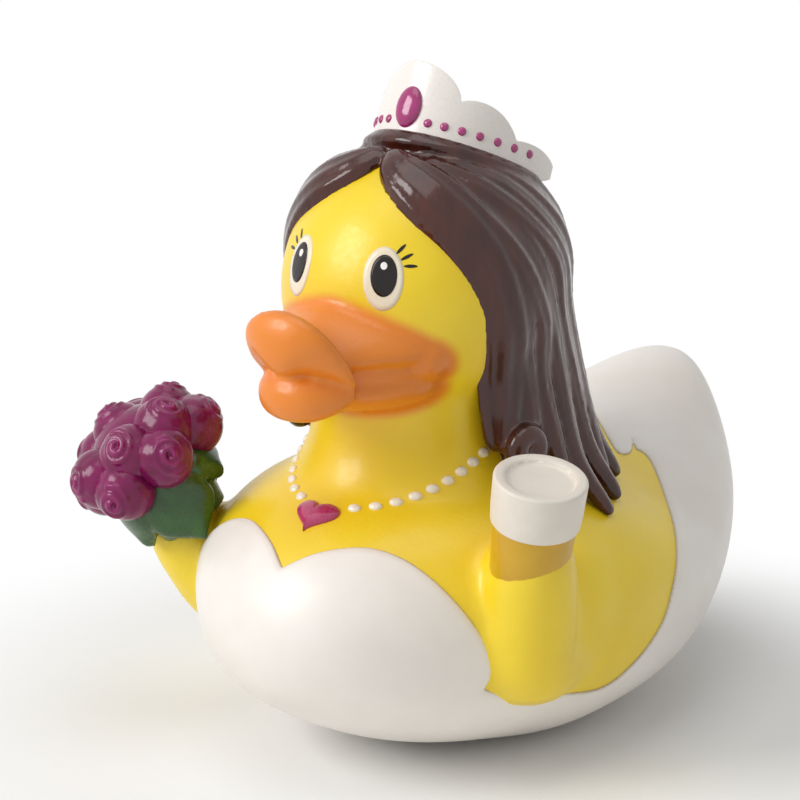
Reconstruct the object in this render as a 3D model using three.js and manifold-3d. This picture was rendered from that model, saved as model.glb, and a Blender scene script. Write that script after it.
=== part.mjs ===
// A bath duck dressed as a bride, rotocast in one piece of soft vinyl, with a squeaker pressed into its base.
// Millimetres, +Z up. The duck looks along -Y and its left wing is on +X.
// The origin is the middle of the flat foot that it stands on.
import * as THREE from 'three';
import { mergeVertices } from 'three/addons/utils/BufferGeometryUtils.js';
import Module from 'manifold-3d';

// Trunk: a boat hull with a swept-up tail
const TRUNK_LENGTH = 105.5;
const TRUNK_FRONT = -41.7;
const TRUNK_HALF_WIDTH = 32.5;
const TRUNK_RISE = 21;
const TRUNK_DROP = 23.8;
const KEEL_HEIGHT = 21.5;
const TAIL_LIFT = 19;
const WALL = 2.2;

// Neck and head
const NECK_RADIUS = 17.6;
const NECK_NARROWING = 0.84;
const HEAD_FORWARD = 5.7;
const HEAD_HEIGHT = 66;
const HEAD_HALF_WIDTH = 19.3;
const HEAD_HALF_DEPTH = 21;
const HEAD_HALF_HEIGHT = 20.5;

// Beak: a broad bill that narrows from the cheeks to two full lips
const BEAK_REACH = 12.8;
const BEAK_HALF_WIDTH = 14.5;
const BEAK_HALF_HEIGHT = 7.3;
const BEAK_DROP = 6;
const BEAK_ROOT_DEPTH = 15;
const LIP_HALF_WIDTH = 8.2;
const UPPER_LIP_THICKNESS = 9.6;
const LOWER_LIP_THICKNESS = 6.8;

// Hair: a cap on the head and a curtain of locks around the sides and the back
const HAIR_FORWARD = 4;
const HAIR_HALF_WIDTH = 20.4;
const HAIR_HALF_DEPTH = 22;
const HAIR_HALF_HEIGHT = 22.8;
const HAIR_FLARE = 0.3;
const HAIR_FLARE_START = 4;
const HAIR_WAIST = 2.6;
const HAIR_WAIST_LENGTH = 26;
const LOCKS_PER_SIDE = 6;
const FRONT_LOCK_ANGLE = 86;
const FRONT_LOCK_END = 39.5;
const BACK_LOCK_END = 30;
const LOCK_DEPTH = 2.6;

// Tiara: a scalloped strip bent round the crown
const TIARA_HALF_WIDTH = 11.5;
const TIARA_HALF_DEPTH = 16.5;
const TIARA_TILT = 23;
const TIARA_SPAN = 98;
const TIARA_SET_BACK = 9.7;
const TIARA_SUNK = 7.1;
const TIARA_THICKNESS = 1.8;
const TIARA_FOOT = 2.2;
const TIARA_BAND = 5.2;
const TIARA_LOBE_ANGLE = 34;
const TIARA_CREST = 9.8;
const TIARA_SIDE_CREST = 6.2;
const TIARA_END_CREST = 3.9;
const JEWEL_HALF_WIDTH = 2.1;
const JEWEL_HALF_HEIGHT = 3.1;
const JEWEL_RISE = 3.2;

// Dress: the lower half of the trunk, raised above the skin, with two lobes at the breast and two at the back
const DRESS_RISE = 0.5;
const NECKLINE_DIP = 32.3;
const NECKLINE_LOBE = 35.8;
const NECKLINE_LOBE_OFFSET = 10;
const SLEEVE_HALF_WIDTH = 25.4;
const SLEEVE_START = -24.4;
const SLEEVE_CORNER = 16.8;
const SLEEVE_FLOOR = 12;
const SLEEVE_END = 10;
const SLEEVE_END_HEIGHT = 24.5;
const BACK_DIP = 38.5;
const BACK_LOBE = 27.8;
const BACK_LOBE_OFFSET = 12.4;
const BACK_SLIT = 33.4;

// Necklace
const PEARL_RADIUS = 0.8;
const PEARLS_PER_SIDE = 9;
const PEARL_START = 12;
const PEARL_SPACING = 7.2;
const NECKLACE_DROP = 39;
const NECKLACE_RISE = 45;
const NECKLACE_STEEPNESS = 1.3;
const PENDANT_SIZE = 6.2;
const PENDANT_THICKNESS = 2.4;

// Wings that end in hands
const HAND_RADIUS = 6.9;
const WING_RADIUS = 8;
const ELBOW = new THREE.Vector3(26.5, -12, 20);
const LEFT_HAND = new THREE.Vector3(29.2, -20.8, 34);
const RIGHT_HAND = new THREE.Vector3(-28.8, -24.5, 31);
const SHOULDER = new THREE.Vector3(24.5, -6, 23.5);
const SHOULDER_RADII = new THREE.Vector3(8.4, 15, 11);

// Glass with a head of foam in the left hand
const GLASS_RIM_RADIUS = 6;
const GLASS_FOOT_RADIUS = 5.2;
const GLASS_HEIGHT = 15;
const GLASS_TOP = new THREE.Vector3(32, -22.8, 47.4);
const GLASS_AXIS = new THREE.Vector3(0.23, -0.14, 1).normalize();
const FOAM_HEIGHT = 7;
const FOAM_STEP = 0.35;
const RIM_WIDTH = 1.3;
const RIM_DEPTH = 0.6;

// Bouquet in the right hand
const BOUQUET_CENTRE = new THREE.Vector3(-32.2, -29.2, 42);
const BOUQUET_AXIS = new THREE.Vector3(-0.48, -0.37, 0.815).normalize();
const BOUQUET_RADIUS = 7;
const BOUQUET_FLATTENING = 0.85;
const ROSE_RADIUS = 4.1;
const ROSE_SUNK = 0.4;
const STEM_LENGTH = 12.6;
const ROSES_IN_RING = 5;
const LEAF_LENGTH = 15;
const LEAF_HALF_WIDTH = 4.4;
const LEAVES = 6;

// Squeaker in the base
const SQUEAKER_BORE = 11;
const SQUEAKER_SET_BACK = 10.5;
const CLEARANCE = 0.3;
const SEAT_RADIUS = 7.2;
const SEAT_DEPTH = 1.8;
const COLLAR_HEIGHT = 5;
const COLLAR_WALL = 2.4;
const SQUEAKER_WALL = 1.3;
const SNAP_LIP = 0.9;
const SNAP_LIP_HEIGHT = 2.4;
const FLANGE_RECESS = 0.4;
const REED_LEDGE = 1;
const REED_THICKNESS = 0.4;
const SOUND_HOLE = 3;

// Longer than the duck in every direction, for cutters
const FAR = 200;

const wasm = await Module();
wasm.setup();

const { degToRad } = THREE.MathUtils;
const across = new THREE.Vector3(1, 0, 0);
const up = new THREE.Vector3(0, 0, 1);
const headCentre = new THREE.Vector3(0, -HEAD_FORWARD, HEAD_HEIGHT);
const hairCentre = new THREE.Vector3(0, -HAIR_FORWARD, HEAD_HEIGHT);
const hairRadii = new THREE.Vector3(HAIR_HALF_WIDTH, HAIR_HALF_DEPTH, HAIR_HALF_HEIGHT);

// Turns a closed three.js geometry into a solid, with its faces pointing out
function solid(geometry) {
  const bare = geometry.clone();
  bare.deleteAttribute('normal');
  bare.deleteAttribute('uv');
  const merged = mergeVertices(bare, 1e-4);
  const position = merged.attributes.position;
  const index = merged.index.array;
  const [a, b, c] = [new THREE.Vector3(), new THREE.Vector3(), new THREE.Vector3()];
  let volume = 0;
  for (let i = 0; i < index.length; i += 3) {
    a.fromBufferAttribute(position, index[i]);
    b.fromBufferAttribute(position, index[i + 1]);
    c.fromBufferAttribute(position, index[i + 2]);
    volume += a.dot(b.cross(c));
  }
  const triangles = new Uint32Array(index);
  if (volume < 0) triangles.reverse();
  const mesh = new wasm.Mesh({
    numProp: 3,
    vertProperties: new Float32Array(position.array),
    triVerts: triangles,
  });
  return new wasm.Manifold(mesh);
}

function geometryOf(body) {
  const mesh = body.getMesh();
  const geometry = new THREE.BufferGeometry();
  geometry.setAttribute('position', new THREE.BufferAttribute(new Float32Array(mesh.vertProperties), 3));
  geometry.setIndex(new THREE.BufferAttribute(new Uint32Array(mesh.triVerts), 1));
  geometry.computeVertexNormals();
  return geometry;
}

function unite(parts) {
  return parts.reduce((sum, part) => sum.add(part));
}

// Skins a row of rings that all have the same number of points, and closes both ends
function skin(rings) {
  const sides = rings[0].length;
  const ends = [rings[0], rings.at(-1)].map((ring) => {
    const middle = new THREE.Vector3();
    for (const point of ring) middle.addScaledVector(point, 1 / sides);
    return middle;
  });
  const points = [...rings.flat(), ...ends];
  const [firstEnd, lastEnd] = [points.length - 2, points.length - 1];
  const triangles = [];
  const lastRow = (rings.length - 1) * sides;
  for (let side = 0; side < sides; side++) {
    const next = (side + 1) % sides;
    triangles.push(firstEnd, next, side, lastEnd, lastRow + side, lastRow + next);
    for (let row = 0; row < lastRow; row += sides) {
      triangles.push(row + side, row + next, row + sides + next);
      triangles.push(row + side, row + sides + next, row + sides + side);
    }
  }
  const geometry = new THREE.BufferGeometry().setFromPoints(points);
  geometry.setIndex(triangles);
  return geometry;
}

// A value that runs smoothly through the given ones as t goes from 0 to 1
function profile(...values) {
  const points = values.map((value) => new THREE.Vector3(value, 0, 0));
  const curve = new THREE.CatmullRomCurve3(points, false, 'catmullrom');
  return (t) => curve.getPoint(t).x;
}

// A sphere drawn out along a path: elliptical sections whose ends round off.
// side(t) gives the direction of the width; rise and drop are the depths on either side of the path.
function drawnForm({ path, side, width, rise, drop, rings, sides, fullness = 1, squareness = 2 }) {
  const rows = [];
  for (let ring = 1; ring < rings; ring++) {
    const turn = (Math.PI * ring) / rings;
    const t = (1 - Math.cos(turn)) / 2;
    const swell = Math.sin(turn) ** fullness;
    const centre = path.getPoint(t);
    const lateral = side(t).clone().normalize();
    const outward = path.getTangent(t).cross(lateral).normalize().negate();
    const row = [];
    for (let step = 0; step < sides; step++) {
      const angle = (2 * Math.PI * step) / sides;
      const round = (value) => Math.sign(value) * Math.abs(value) ** (2 / squareness);
      const depth = Math.sin(angle) > 0 ? rise(t) : drop(t);
      const point = centre.clone();
      point.addScaledVector(lateral, swell * width(t) * round(Math.cos(angle)));
      point.addScaledVector(outward, swell * depth * round(Math.sin(angle)));
      row.push(point);
    }
    rows.push(row);
  }
  return skin(rows);
}

function ellipsoid(centre, radii, sides, rows) {
  const geometry = new THREE.SphereGeometry(1, sides, rows);
  geometry.rotateX(Math.PI / 2);
  geometry.scale(radii.x, radii.y, radii.z);
  geometry.translate(centre.x, centre.y, centre.z);
  return geometry;
}

// A turned form about a vertical axis, from (radius, height) pairs that start and end on the axis
function turned(pairs, sides) {
  const points = pairs.map(([radius, height]) => new THREE.Vector2(radius, height));
  return new THREE.LatheGeometry(points, sides).rotateX(Math.PI / 2);
}

function block(low, high) {
  const size = high.clone().sub(low);
  const centre = low.clone().add(high).multiplyScalar(0.5);
  return new THREE.BoxGeometry(size.x, size.y, size.z).translate(centre.x, centre.y, centre.z);
}

// The hull and tail, grown by `grow` millimetres (negative for the hollow inside)
function trunk(grow, rings = 22, sides = 26) {
  const spine = [
    [0, 0.02],
    [0.14, 0.06],
    [0.28, 0.06],
    [0.42, 0.06],
    [0.61, 0.05],
    [0.81, 0.4],
    [0.975, 1.12],
  ];
  const last = spine.length - 1;
  const points = spine.map(([along, lift], row) => {
    const shift = grow * ((2 * row) / last - 1);
    const y = TRUNK_FRONT + TRUNK_LENGTH * along + shift;
    return new THREE.Vector3(0, y, KEEL_HEIGHT + TAIL_LIFT * lift);
  });
  const width = profile(0.935, 0.985, 1.01, 1.025, 1, 0.885, 0.67);
  const rise = profile(1.06, 1.08, 1, 0.86, 0.72, 0.63, 0.54);
  const drop = profile(0.91, 0.93, 0.94, 1, 0.98, 0.88, 0.68);
  return drawnForm({
    path: new THREE.CatmullRomCurve3(points, false, 'catmullrom'),
    side: () => across,
    width: (t) => TRUNK_HALF_WIDTH * width(t) + grow,
    rise: (t) => TRUNK_RISE * rise(t) + grow,
    drop: (t) => TRUNK_DROP * drop(t) + grow,
    rings,
    sides,
    squareness: 2.15,
  });
}

function neck(grow, sides = 24) {
  const pairs = [
    [0, 30],
    [1.34, 32],
    [1.28, 38],
    [1.12, 41.5],
    [1.02, 45],
    [0.99, 49],
    [1.02, 56],
    [0, 62],
  ];
  const outline = pairs.map(([share, height]) => [share && share * NECK_RADIUS + grow, height]);
  const geometry = turned(outline, sides);
  geometry.scale(NECK_NARROWING, 1, 1);
  geometry.translate(0, headCentre.y, 0);
  return geometry;
}

function head(grow, sides = 24, rows = 14) {
  const radii = new THREE.Vector3(HEAD_HALF_WIDTH, HEAD_HALF_DEPTH, HEAD_HALF_HEIGHT).addScalar(grow);
  return ellipsoid(headCentre, radii, sides, rows);
}

// The closed bill, with the two lips laid across its tip from corner to corner
function beak() {
  const face = headCentre.y - HEAD_HALF_DEPTH;
  const tip = face - BEAK_REACH;
  const middle = HEAD_HEIGHT - BEAK_DROP;
  const root = new THREE.Vector3(0, face + BEAK_ROOT_DEPTH, middle);
  const widths = [
    BEAK_HALF_WIDTH,
    BEAK_HALF_WIDTH,
    BEAK_HALF_WIDTH * 0.78,
    LIP_HALF_WIDTH * 0.85,
    LIP_HALF_WIDTH * 0.7,
  ];
  const bill = drawnForm({
    path: new THREE.LineCurve3(root, new THREE.Vector3(0, tip + 4, middle)),
    side: () => across.clone().negate(),
    width: profile(...widths),
    rise: () => BEAK_HALF_HEIGHT,
    drop: () => BEAK_HALF_HEIGHT,
    rings: 12,
    sides: 16,
    fullness: 0.4,
  });
  const lip = (front, height, cornerDrop, thickness, depth) => {
    const corner = new THREE.Vector3(LIP_HALF_WIDTH, front + 5, height - cornerDrop);
    const between = new THREE.Vector3(LIP_HALF_WIDTH * 0.58, front + 0.9, height - cornerDrop * 0.3);
    const flip = new THREE.Vector3(-1, 1, 1);
    const points = [corner.clone().multiply(flip), between.clone().multiply(flip)];
    points.push(new THREE.Vector3(0, front, height), between, corner);
    return drawnForm({
      path: new THREE.CatmullRomCurve3(points),
      side: () => new THREE.Vector3(0, -1, 0),
      width: (t) => depth * (0.4 + 0.6 * Math.sin(Math.PI * t)),
      rise: (t) => (thickness / 2) * (0.3 + 0.7 * Math.sin(Math.PI * t)),
      drop: (t) => (thickness / 2) * (0.3 + 0.7 * Math.sin(Math.PI * t)),
      rings: 12,
      sides: 12,
      fullness: 0.6,
    });
  };
  const mouth = middle - 0.6;
  const upper = lip(tip + 4, mouth + UPPER_LIP_THICKNESS / 2 - 0.5, 6, UPPER_LIP_THICKNESS, 4);
  const lower = lip(tip + 5.4, mouth - LOWER_LIP_THICKNESS / 2 + 0.1, -0.2, LOWER_LIP_THICKNESS, 3.2);
  return unite([bill, upper, lower].map(solid));
}

// A point of the hair's outer face: angle 0 is the face, 180 the back of the head
function hairPoint(angle, height) {
  const turn = degToRad(angle);
  const backness = (1 - Math.cos(turn)) / 2;
  const across = Math.sin(turn) / HAIR_HALF_WIDTH;
  const along = Math.cos(turn) / HAIR_HALF_DEPTH;
  const above = Math.max(0, height - HEAD_HEIGHT) / HAIR_HALF_HEIGHT;
  const below = Math.max(0, HEAD_HEIGHT - height);
  const round = Math.sqrt(Math.max(0, 1 - above * above));
  const waist = HAIR_WAIST * Math.sin(Math.min(1, below / HAIR_WAIST_LENGTH) * Math.PI) * (1 - backness);
  const flare = HAIR_FLARE * Math.max(0, below - HAIR_FLARE_START) * backness;
  const radius = round / Math.hypot(across, along) - waist + flare;
  return new THREE.Vector3(Math.sin(turn) * radius, hairCentre.y - Math.cos(turn) * radius, height);
}

// One lock of the curtain, which hangs from the crown to its own tip
function lock(angle, endHeight, halfWidth, crown = HEAD_HEIGHT + 0.86 * HAIR_HALF_HEIGHT) {
  const heights = [0, 0.2, 0.42, 0.64, 0.84, 1].map((share) => crown + (endHeight - crown) * share);
  const inset = LOCK_DEPTH * 0.9;
  const points = heights.map((height) => {
    const point = hairPoint(angle, height);
    const inward = new THREE.Vector3(0, hairCentre.y, height).sub(point).setLength(inset);
    return point.add(inward);
  });
  const turn = degToRad(angle);
  const side = new THREE.Vector3(Math.cos(turn), Math.sin(turn), 0);
  const width = profile(0.7, 1, 1.05, 1.1, 1.15, 0.9);
  return drawnForm({
    path: new THREE.CatmullRomCurve3(points),
    side: () => side,
    width: (t) => halfWidth * width(t),
    rise: () => LOCK_DEPTH,
    drop: () => LOCK_DEPTH,
    rings: 7,
    sides: 6,
    fullness: 0.55,
  });
}

// The cap covers the crown and the back of the head and leaves the face open
function hairCap() {
  const inset = 0.5;
  const cap = solid(ellipsoid(hairCentre, hairRadii.clone().subScalar(inset), 20, 12));
  const hairlineTop = new THREE.Vector3(0, -17, HEAD_HEIGHT + 18);
  const hairlineSide = new THREE.Vector3(0, -9, HEAD_HEIGHT - 10);
  const slope = Math.atan2(hairlineSide.y - hairlineTop.y, hairlineTop.z - hairlineSide.z);
  const faceCut = new THREE.BoxGeometry(80, 60, 80);
  faceCut.translate(0, -30, -40);
  faceCut.rotateX(slope);
  faceCut.translate(0, hairlineTop.y, hairlineTop.z);
  return cap.subtract(solid(faceCut));
}

// Swept forelocks that part at the middle of the forehead and frame the face
function forelock(mirror) {
  const stations = [
    [3, 20.5],
    [18, 18.5],
    [36, 15.5],
    [52, 11],
    [63, 5],
    [70, -3],
    [72, -10],
    [69, -16],
    [63, -21.5],
  ];
  const sunk = 1.3;
  const points = stations.map(([angle, above]) => {
    const point = hairPoint(mirror * angle, HEAD_HEIGHT + above);
    return point.lerp(hairCentre, sunk / point.distanceTo(hairCentre));
  });
  const path = new THREE.CatmullRomCurve3(points);
  return drawnForm({
    path,
    side: (t) => {
      const outward = path.getPoint(t).sub(hairCentre);
      return path.getTangent(t).cross(outward);
    },
    width: profile(2.2, 3.2, 3.8, 4, 4, 4, 4, 3.8, 3),
    rise: () => 1.8,
    drop: () => 3,
    rings: 12,
    sides: 7,
    fullness: 0.6,
  });
}

function hair() {
  const parts = [hairCap(), solid(forelock(1)), solid(forelock(-1))];
  const step = (180 - FRONT_LOCK_ANGLE) / LOCKS_PER_SIDE;
  const spacing = degToRad(step) * HAIR_HALF_DEPTH;
  for (let place = 0; place <= LOCKS_PER_SIDE; place++) {
    const angle = FRONT_LOCK_ANGLE + step * place;
    const backness = place / LOCKS_PER_SIDE;
    const end = FRONT_LOCK_END + (BACK_LOCK_END - FRONT_LOCK_END) * Math.sqrt(backness);
    const ripple = place % 2 ? 1.6 : 0;
    for (const mirror of place === LOCKS_PER_SIDE ? [1] : [1, -1]) {
      parts.push(solid(lock(mirror * angle, end + ripple, spacing * 0.72)));
    }
  }
  return unite(parts);
}

// Height of the tiara's top edge at an angle from its middle
function tiaraHeight(angle) {
  const place = Math.abs(angle);
  const lobes = [
    [-TIARA_LOBE_ANGLE, TIARA_LOBE_ANGLE, TIARA_CREST],
    [TIARA_LOBE_ANGLE, 2 * TIARA_LOBE_ANGLE, TIARA_SIDE_CREST],
    [2 * TIARA_LOBE_ANGLE, TIARA_SPAN, TIARA_END_CREST],
  ];
  const [from, to, crest] = lobes.find((lobe) => place <= lobe[1]) ?? lobes.at(-1);
  const share = (place - from) / (to - from);
  const valley = TIARA_BAND * (1 - (0.5 * place) / TIARA_SPAN);
  return valley + (crest - valley) * Math.sqrt(Math.max(0, Math.sin(Math.PI * share)));
}

function tiara() {
  const rings = [];
  const steps = 36;
  for (let step = 0; step <= steps; step++) {
    const angle = -TIARA_SPAN + (2 * TIARA_SPAN * step) / steps;
    const turn = degToRad(angle);
    const direction = new THREE.Vector3(Math.sin(turn), -Math.cos(turn), 0);
    const height = tiaraHeight(angle);
    const half = TIARA_THICKNESS / 2;
    const section = [
      [-half, -TIARA_FOOT],
      [half, -TIARA_FOOT],
      [half, height - half],
      [0, height],
      [-half, height - half],
    ];
    rings.push(section.map(([out, high]) => new THREE.Vector3(
      direction.x * (TIARA_HALF_WIDTH + out),
      direction.y * (TIARA_HALF_DEPTH + out),
      high,
    )));
  }
  const strip = solid(skin(rings));
  const jewel = ellipsoid(
    new THREE.Vector3(0, -TIARA_HALF_DEPTH - TIARA_THICKNESS / 2, JEWEL_RISE),
    new THREE.Vector3(JEWEL_HALF_WIDTH, 1, JEWEL_HALF_HEIGHT),
    12,
    8,
  );
  const tilt = degToRad(TIARA_TILT);
  const seat = new THREE.Matrix4().makeRotationX(-tilt);
  seat.setPosition(0, hairCentre.y + TIARA_SET_BACK, HEAD_HEIGHT + HAIR_HALF_HEIGHT - TIARA_SUNK);
  return strip.add(solid(jewel)).transform(seat.toArray());
}

// Where a ray first meets a mesh, with the face's normal
function meet(target, origin, direction) {
  const ray = new THREE.Raycaster(origin, direction.clone().normalize());
  const [hit] = ray.intersectObject(target);
  return hit && { point: hit.point, normal: hit.face.normal.clone() };
}

// Pearls on a string that dips from the sides of the neck to the breast
function necklace(skinMesh) {
  const pearls = [];
  for (const mirror of [1, -1]) {
    for (let place = 1; place <= PEARLS_PER_SIDE; place++) {
      const turn = degToRad(PEARL_START + PEARL_SPACING * (place - 1)) * mirror;
      const rise = 1 - Math.cos(turn * NECKLACE_STEEPNESS);
      const height = NECKLACE_DROP + (NECKLACE_RISE - NECKLACE_DROP) * rise;
      const direction = new THREE.Vector3(Math.sin(turn), -Math.cos(turn), 0);
      const axis = new THREE.Vector3(0, headCentre.y, height);
      const seat = meet(skinMesh, axis.clone().addScaledVector(direction, FAR), direction.clone().negate());
      const radii = new THREE.Vector3().setScalar(PEARL_RADIUS);
      pearls.push(solid(ellipsoid(seat.point, radii, 5, 3)));
    }
  }
  return unite(pearls);
}

function pendant(skinMesh) {
  const r = PENDANT_SIZE / 2;
  const heart = new THREE.Shape();
  heart.moveTo(0, -r);
  heart.bezierCurveTo(r * 0.5, -r * 0.5, r * 1.25, 0, r * 0.95, r * 0.6);
  heart.bezierCurveTo(r * 0.7, r * 1.1, r * 0.1, r, 0, r * 0.5);
  heart.bezierCurveTo(-r * 0.1, r, -r * 0.7, r * 1.1, -r * 0.95, r * 0.6);
  heart.bezierCurveTo(-r * 1.25, 0, -r * 0.5, -r * 0.5, 0, -r);
  const geometry = new THREE.ExtrudeGeometry(heart, {
    depth: PENDANT_THICKNESS / 2,
    curveSegments: 4,
    bevelThickness: PENDANT_THICKNESS / 2,
    bevelSize: PENDANT_SIZE * 0.12,
    bevelSegments: 1,
  });
  geometry.translate(0, 0, -PENDANT_THICKNESS / 2);
  const seat = meet(skinMesh, new THREE.Vector3(0, -FAR, NECKLACE_DROP - 0.5), new THREE.Vector3(0, 1, 0));
  const frame = new THREE.Matrix4().lookAt(seat.normal, new THREE.Vector3(), up);
  frame.setPosition(seat.point);
  return solid(geometry.applyMatrix4(frame));
}

// A wing that leaves the flank at a soft shoulder, bends at the elbow and rises to its hand
function wing(hand, mirror) {
  const elbow = ELBOW.clone().setX(ELBOW.x * mirror);
  const flank = new THREE.Vector3(mirror * (TRUNK_HALF_WIDTH - 7), 4, KEEL_HEIGHT + 2);
  const middle = elbow.clone().lerp(hand, 0.55);
  const points = [flank, elbow.clone().lerp(flank, 0.45), elbow, middle, hand];
  const arm = drawnForm({
    path: new THREE.CatmullRomCurve3(points),
    side: () => new THREE.Vector3(mirror, 0.2, 0),
    width: profile(WING_RADIUS * 0.8, WING_RADIUS * 0.8, HAND_RADIUS, HAND_RADIUS, HAND_RADIUS),
    rise: profile(WING_RADIUS, WING_RADIUS, WING_RADIUS * 0.8, HAND_RADIUS, HAND_RADIUS),
    drop: profile(WING_RADIUS, WING_RADIUS, WING_RADIUS * 0.8, HAND_RADIUS, HAND_RADIUS),
    rings: 12,
    sides: 12,
    fullness: 0.4,
  });
  const shoulder = ellipsoid(SHOULDER.clone().setX(SHOULDER.x * mirror), SHOULDER_RADII, 16, 10);
  return solid(arm).add(solid(shoulder));
}

function glass() {
  const foamBottom = GLASS_HEIGHT - FOAM_HEIGHT;
  const slope = (GLASS_RIM_RADIUS - GLASS_FOOT_RADIUS) / GLASS_HEIGHT;
  const amberTop = GLASS_FOOT_RADIUS + slope * foamBottom;
  const pairs = [
    [0, 0],
    [GLASS_FOOT_RADIUS, 0],
    [amberTop, foamBottom],
    [amberTop + FOAM_STEP, foamBottom + 0.2],
    [GLASS_RIM_RADIUS + FOAM_STEP, GLASS_HEIGHT - 1],
    [GLASS_RIM_RADIUS - 0.4, GLASS_HEIGHT],
    [GLASS_RIM_RADIUS - RIM_WIDTH, GLASS_HEIGHT],
    [GLASS_RIM_RADIUS - RIM_WIDTH - 0.4, GLASS_HEIGHT - RIM_DEPTH],
    [0, GLASS_HEIGHT - RIM_DEPTH],
  ];
  const geometry = turned(pairs, 22);
  geometry.applyQuaternion(new THREE.Quaternion().setFromUnitVectors(up, GLASS_AXIS));
  return geometry.translate(...GLASS_TOP.clone().addScaledVector(GLASS_AXIS, -GLASS_HEIGHT));
}

// A rosebud: outer petals, a rim, and a bud that stands in the middle
function rose() {
  const r = ROSE_RADIUS;
  return turned([
    [0, -0.6 * r],
    [0.85 * r, -0.5 * r],
    [r, 0.05 * r],
    [0.82 * r, 0.66 * r],
    [0.5 * r, 0.5 * r],
    [0.34 * r, 0.86 * r],
    [0, 0.92 * r],
  ], 6);
}

function bouquet() {
  const frame = new THREE.Matrix4().makeRotationFromQuaternion(
    new THREE.Quaternion().setFromUnitVectors(up, BOUQUET_AXIS));
  frame.setPosition(BOUQUET_CENTRE);
  const core = new THREE.Vector3(1, 1, BOUQUET_FLATTENING).multiplyScalar(BOUQUET_RADIUS);
  const parts = [solid(ellipsoid(new THREE.Vector3(), core, 12, 8))];
  const rings = [
    [0, 1],
    [50, ROSES_IN_RING],
    [94, ROSES_IN_RING + 2],
  ];
  for (const [polar, count] of rings) {
    for (let place = 0; place < count; place++) {
      const around = (2 * Math.PI * (place + (polar > 60 ? 0.5 : 0))) / count;
      const direction = new THREE.Vector3().setFromSphericalCoords(1, degToRad(polar), around);
      direction.set(direction.x, direction.z, direction.y);
      const bud = rose();
      bud.applyQuaternion(new THREE.Quaternion().setFromUnitVectors(up, direction));
      const stand = direction.multiplyScalar(BOUQUET_RADIUS - ROSE_SUNK);
      bud.translate(stand.x, stand.y, stand.z * BOUQUET_FLATTENING);
      parts.push(solid(bud));
    }
  }
  for (let place = 0; place < LEAVES; place++) {
    parts.push(solid(leaf((360 * place) / LEAVES)));
  }
  const stems = turned([[0, -STEM_LENGTH], [3.4, -STEM_LENGTH], [BOUQUET_RADIUS * 0.8, 0], [0, 0]], 12);
  parts.push(solid(stems));
  return unite(parts).transform(frame.toArray());
}

// A leaf that wraps the underside of the flowers, its point towards the hand
function leaf(around) {
  const points = [
    [BOUQUET_RADIUS * 0.95, -1],
    [BOUQUET_RADIUS * 1.02, -LEAF_LENGTH * 0.35],
    [BOUQUET_RADIUS * 0.8, -LEAF_LENGTH * 0.65],
    [BOUQUET_RADIUS * 0.5, -LEAF_LENGTH],
  ].map(([out, high]) => new THREE.Vector3(out, 0, high));
  const geometry = drawnForm({
    path: new THREE.CatmullRomCurve3(points),
    side: () => new THREE.Vector3(0, 1, 0),
    width: (t) => LEAF_HALF_WIDTH * (1.1 - 0.5 * t),
    rise: () => 1.3,
    drop: () => 3.5,
    rings: 8,
    sides: 8,
    fullness: 0.9,
  });
  return geometry.rotateZ(degToRad(around));
}

// An outline whose left half mirrors the right: curved runs from the middle outwards, then straight corners
function mirrored(runs, corners) {
  const shape = new THREE.Shape();
  const onRight = ([x, y]) => new THREE.Vector2(x, y);
  const onLeft = ([x, y]) => new THREE.Vector2(-x, y);
  shape.moveTo(...runs[0][0]);
  for (const run of runs) shape.splineThru(run.slice(1).map(onRight));
  for (const [x, y] of corners) shape.lineTo(x, y);
  for (const [x, y] of corners.toReversed()) shape.lineTo(-x, y);
  shape.lineTo(-runs.at(-1).at(-1)[0], runs.at(-1).at(-1)[1]);
  for (const run of runs.toReversed()) shape.splineThru(run.slice(0, -1).toReversed().map(onLeft));
  return shape;
}

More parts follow.
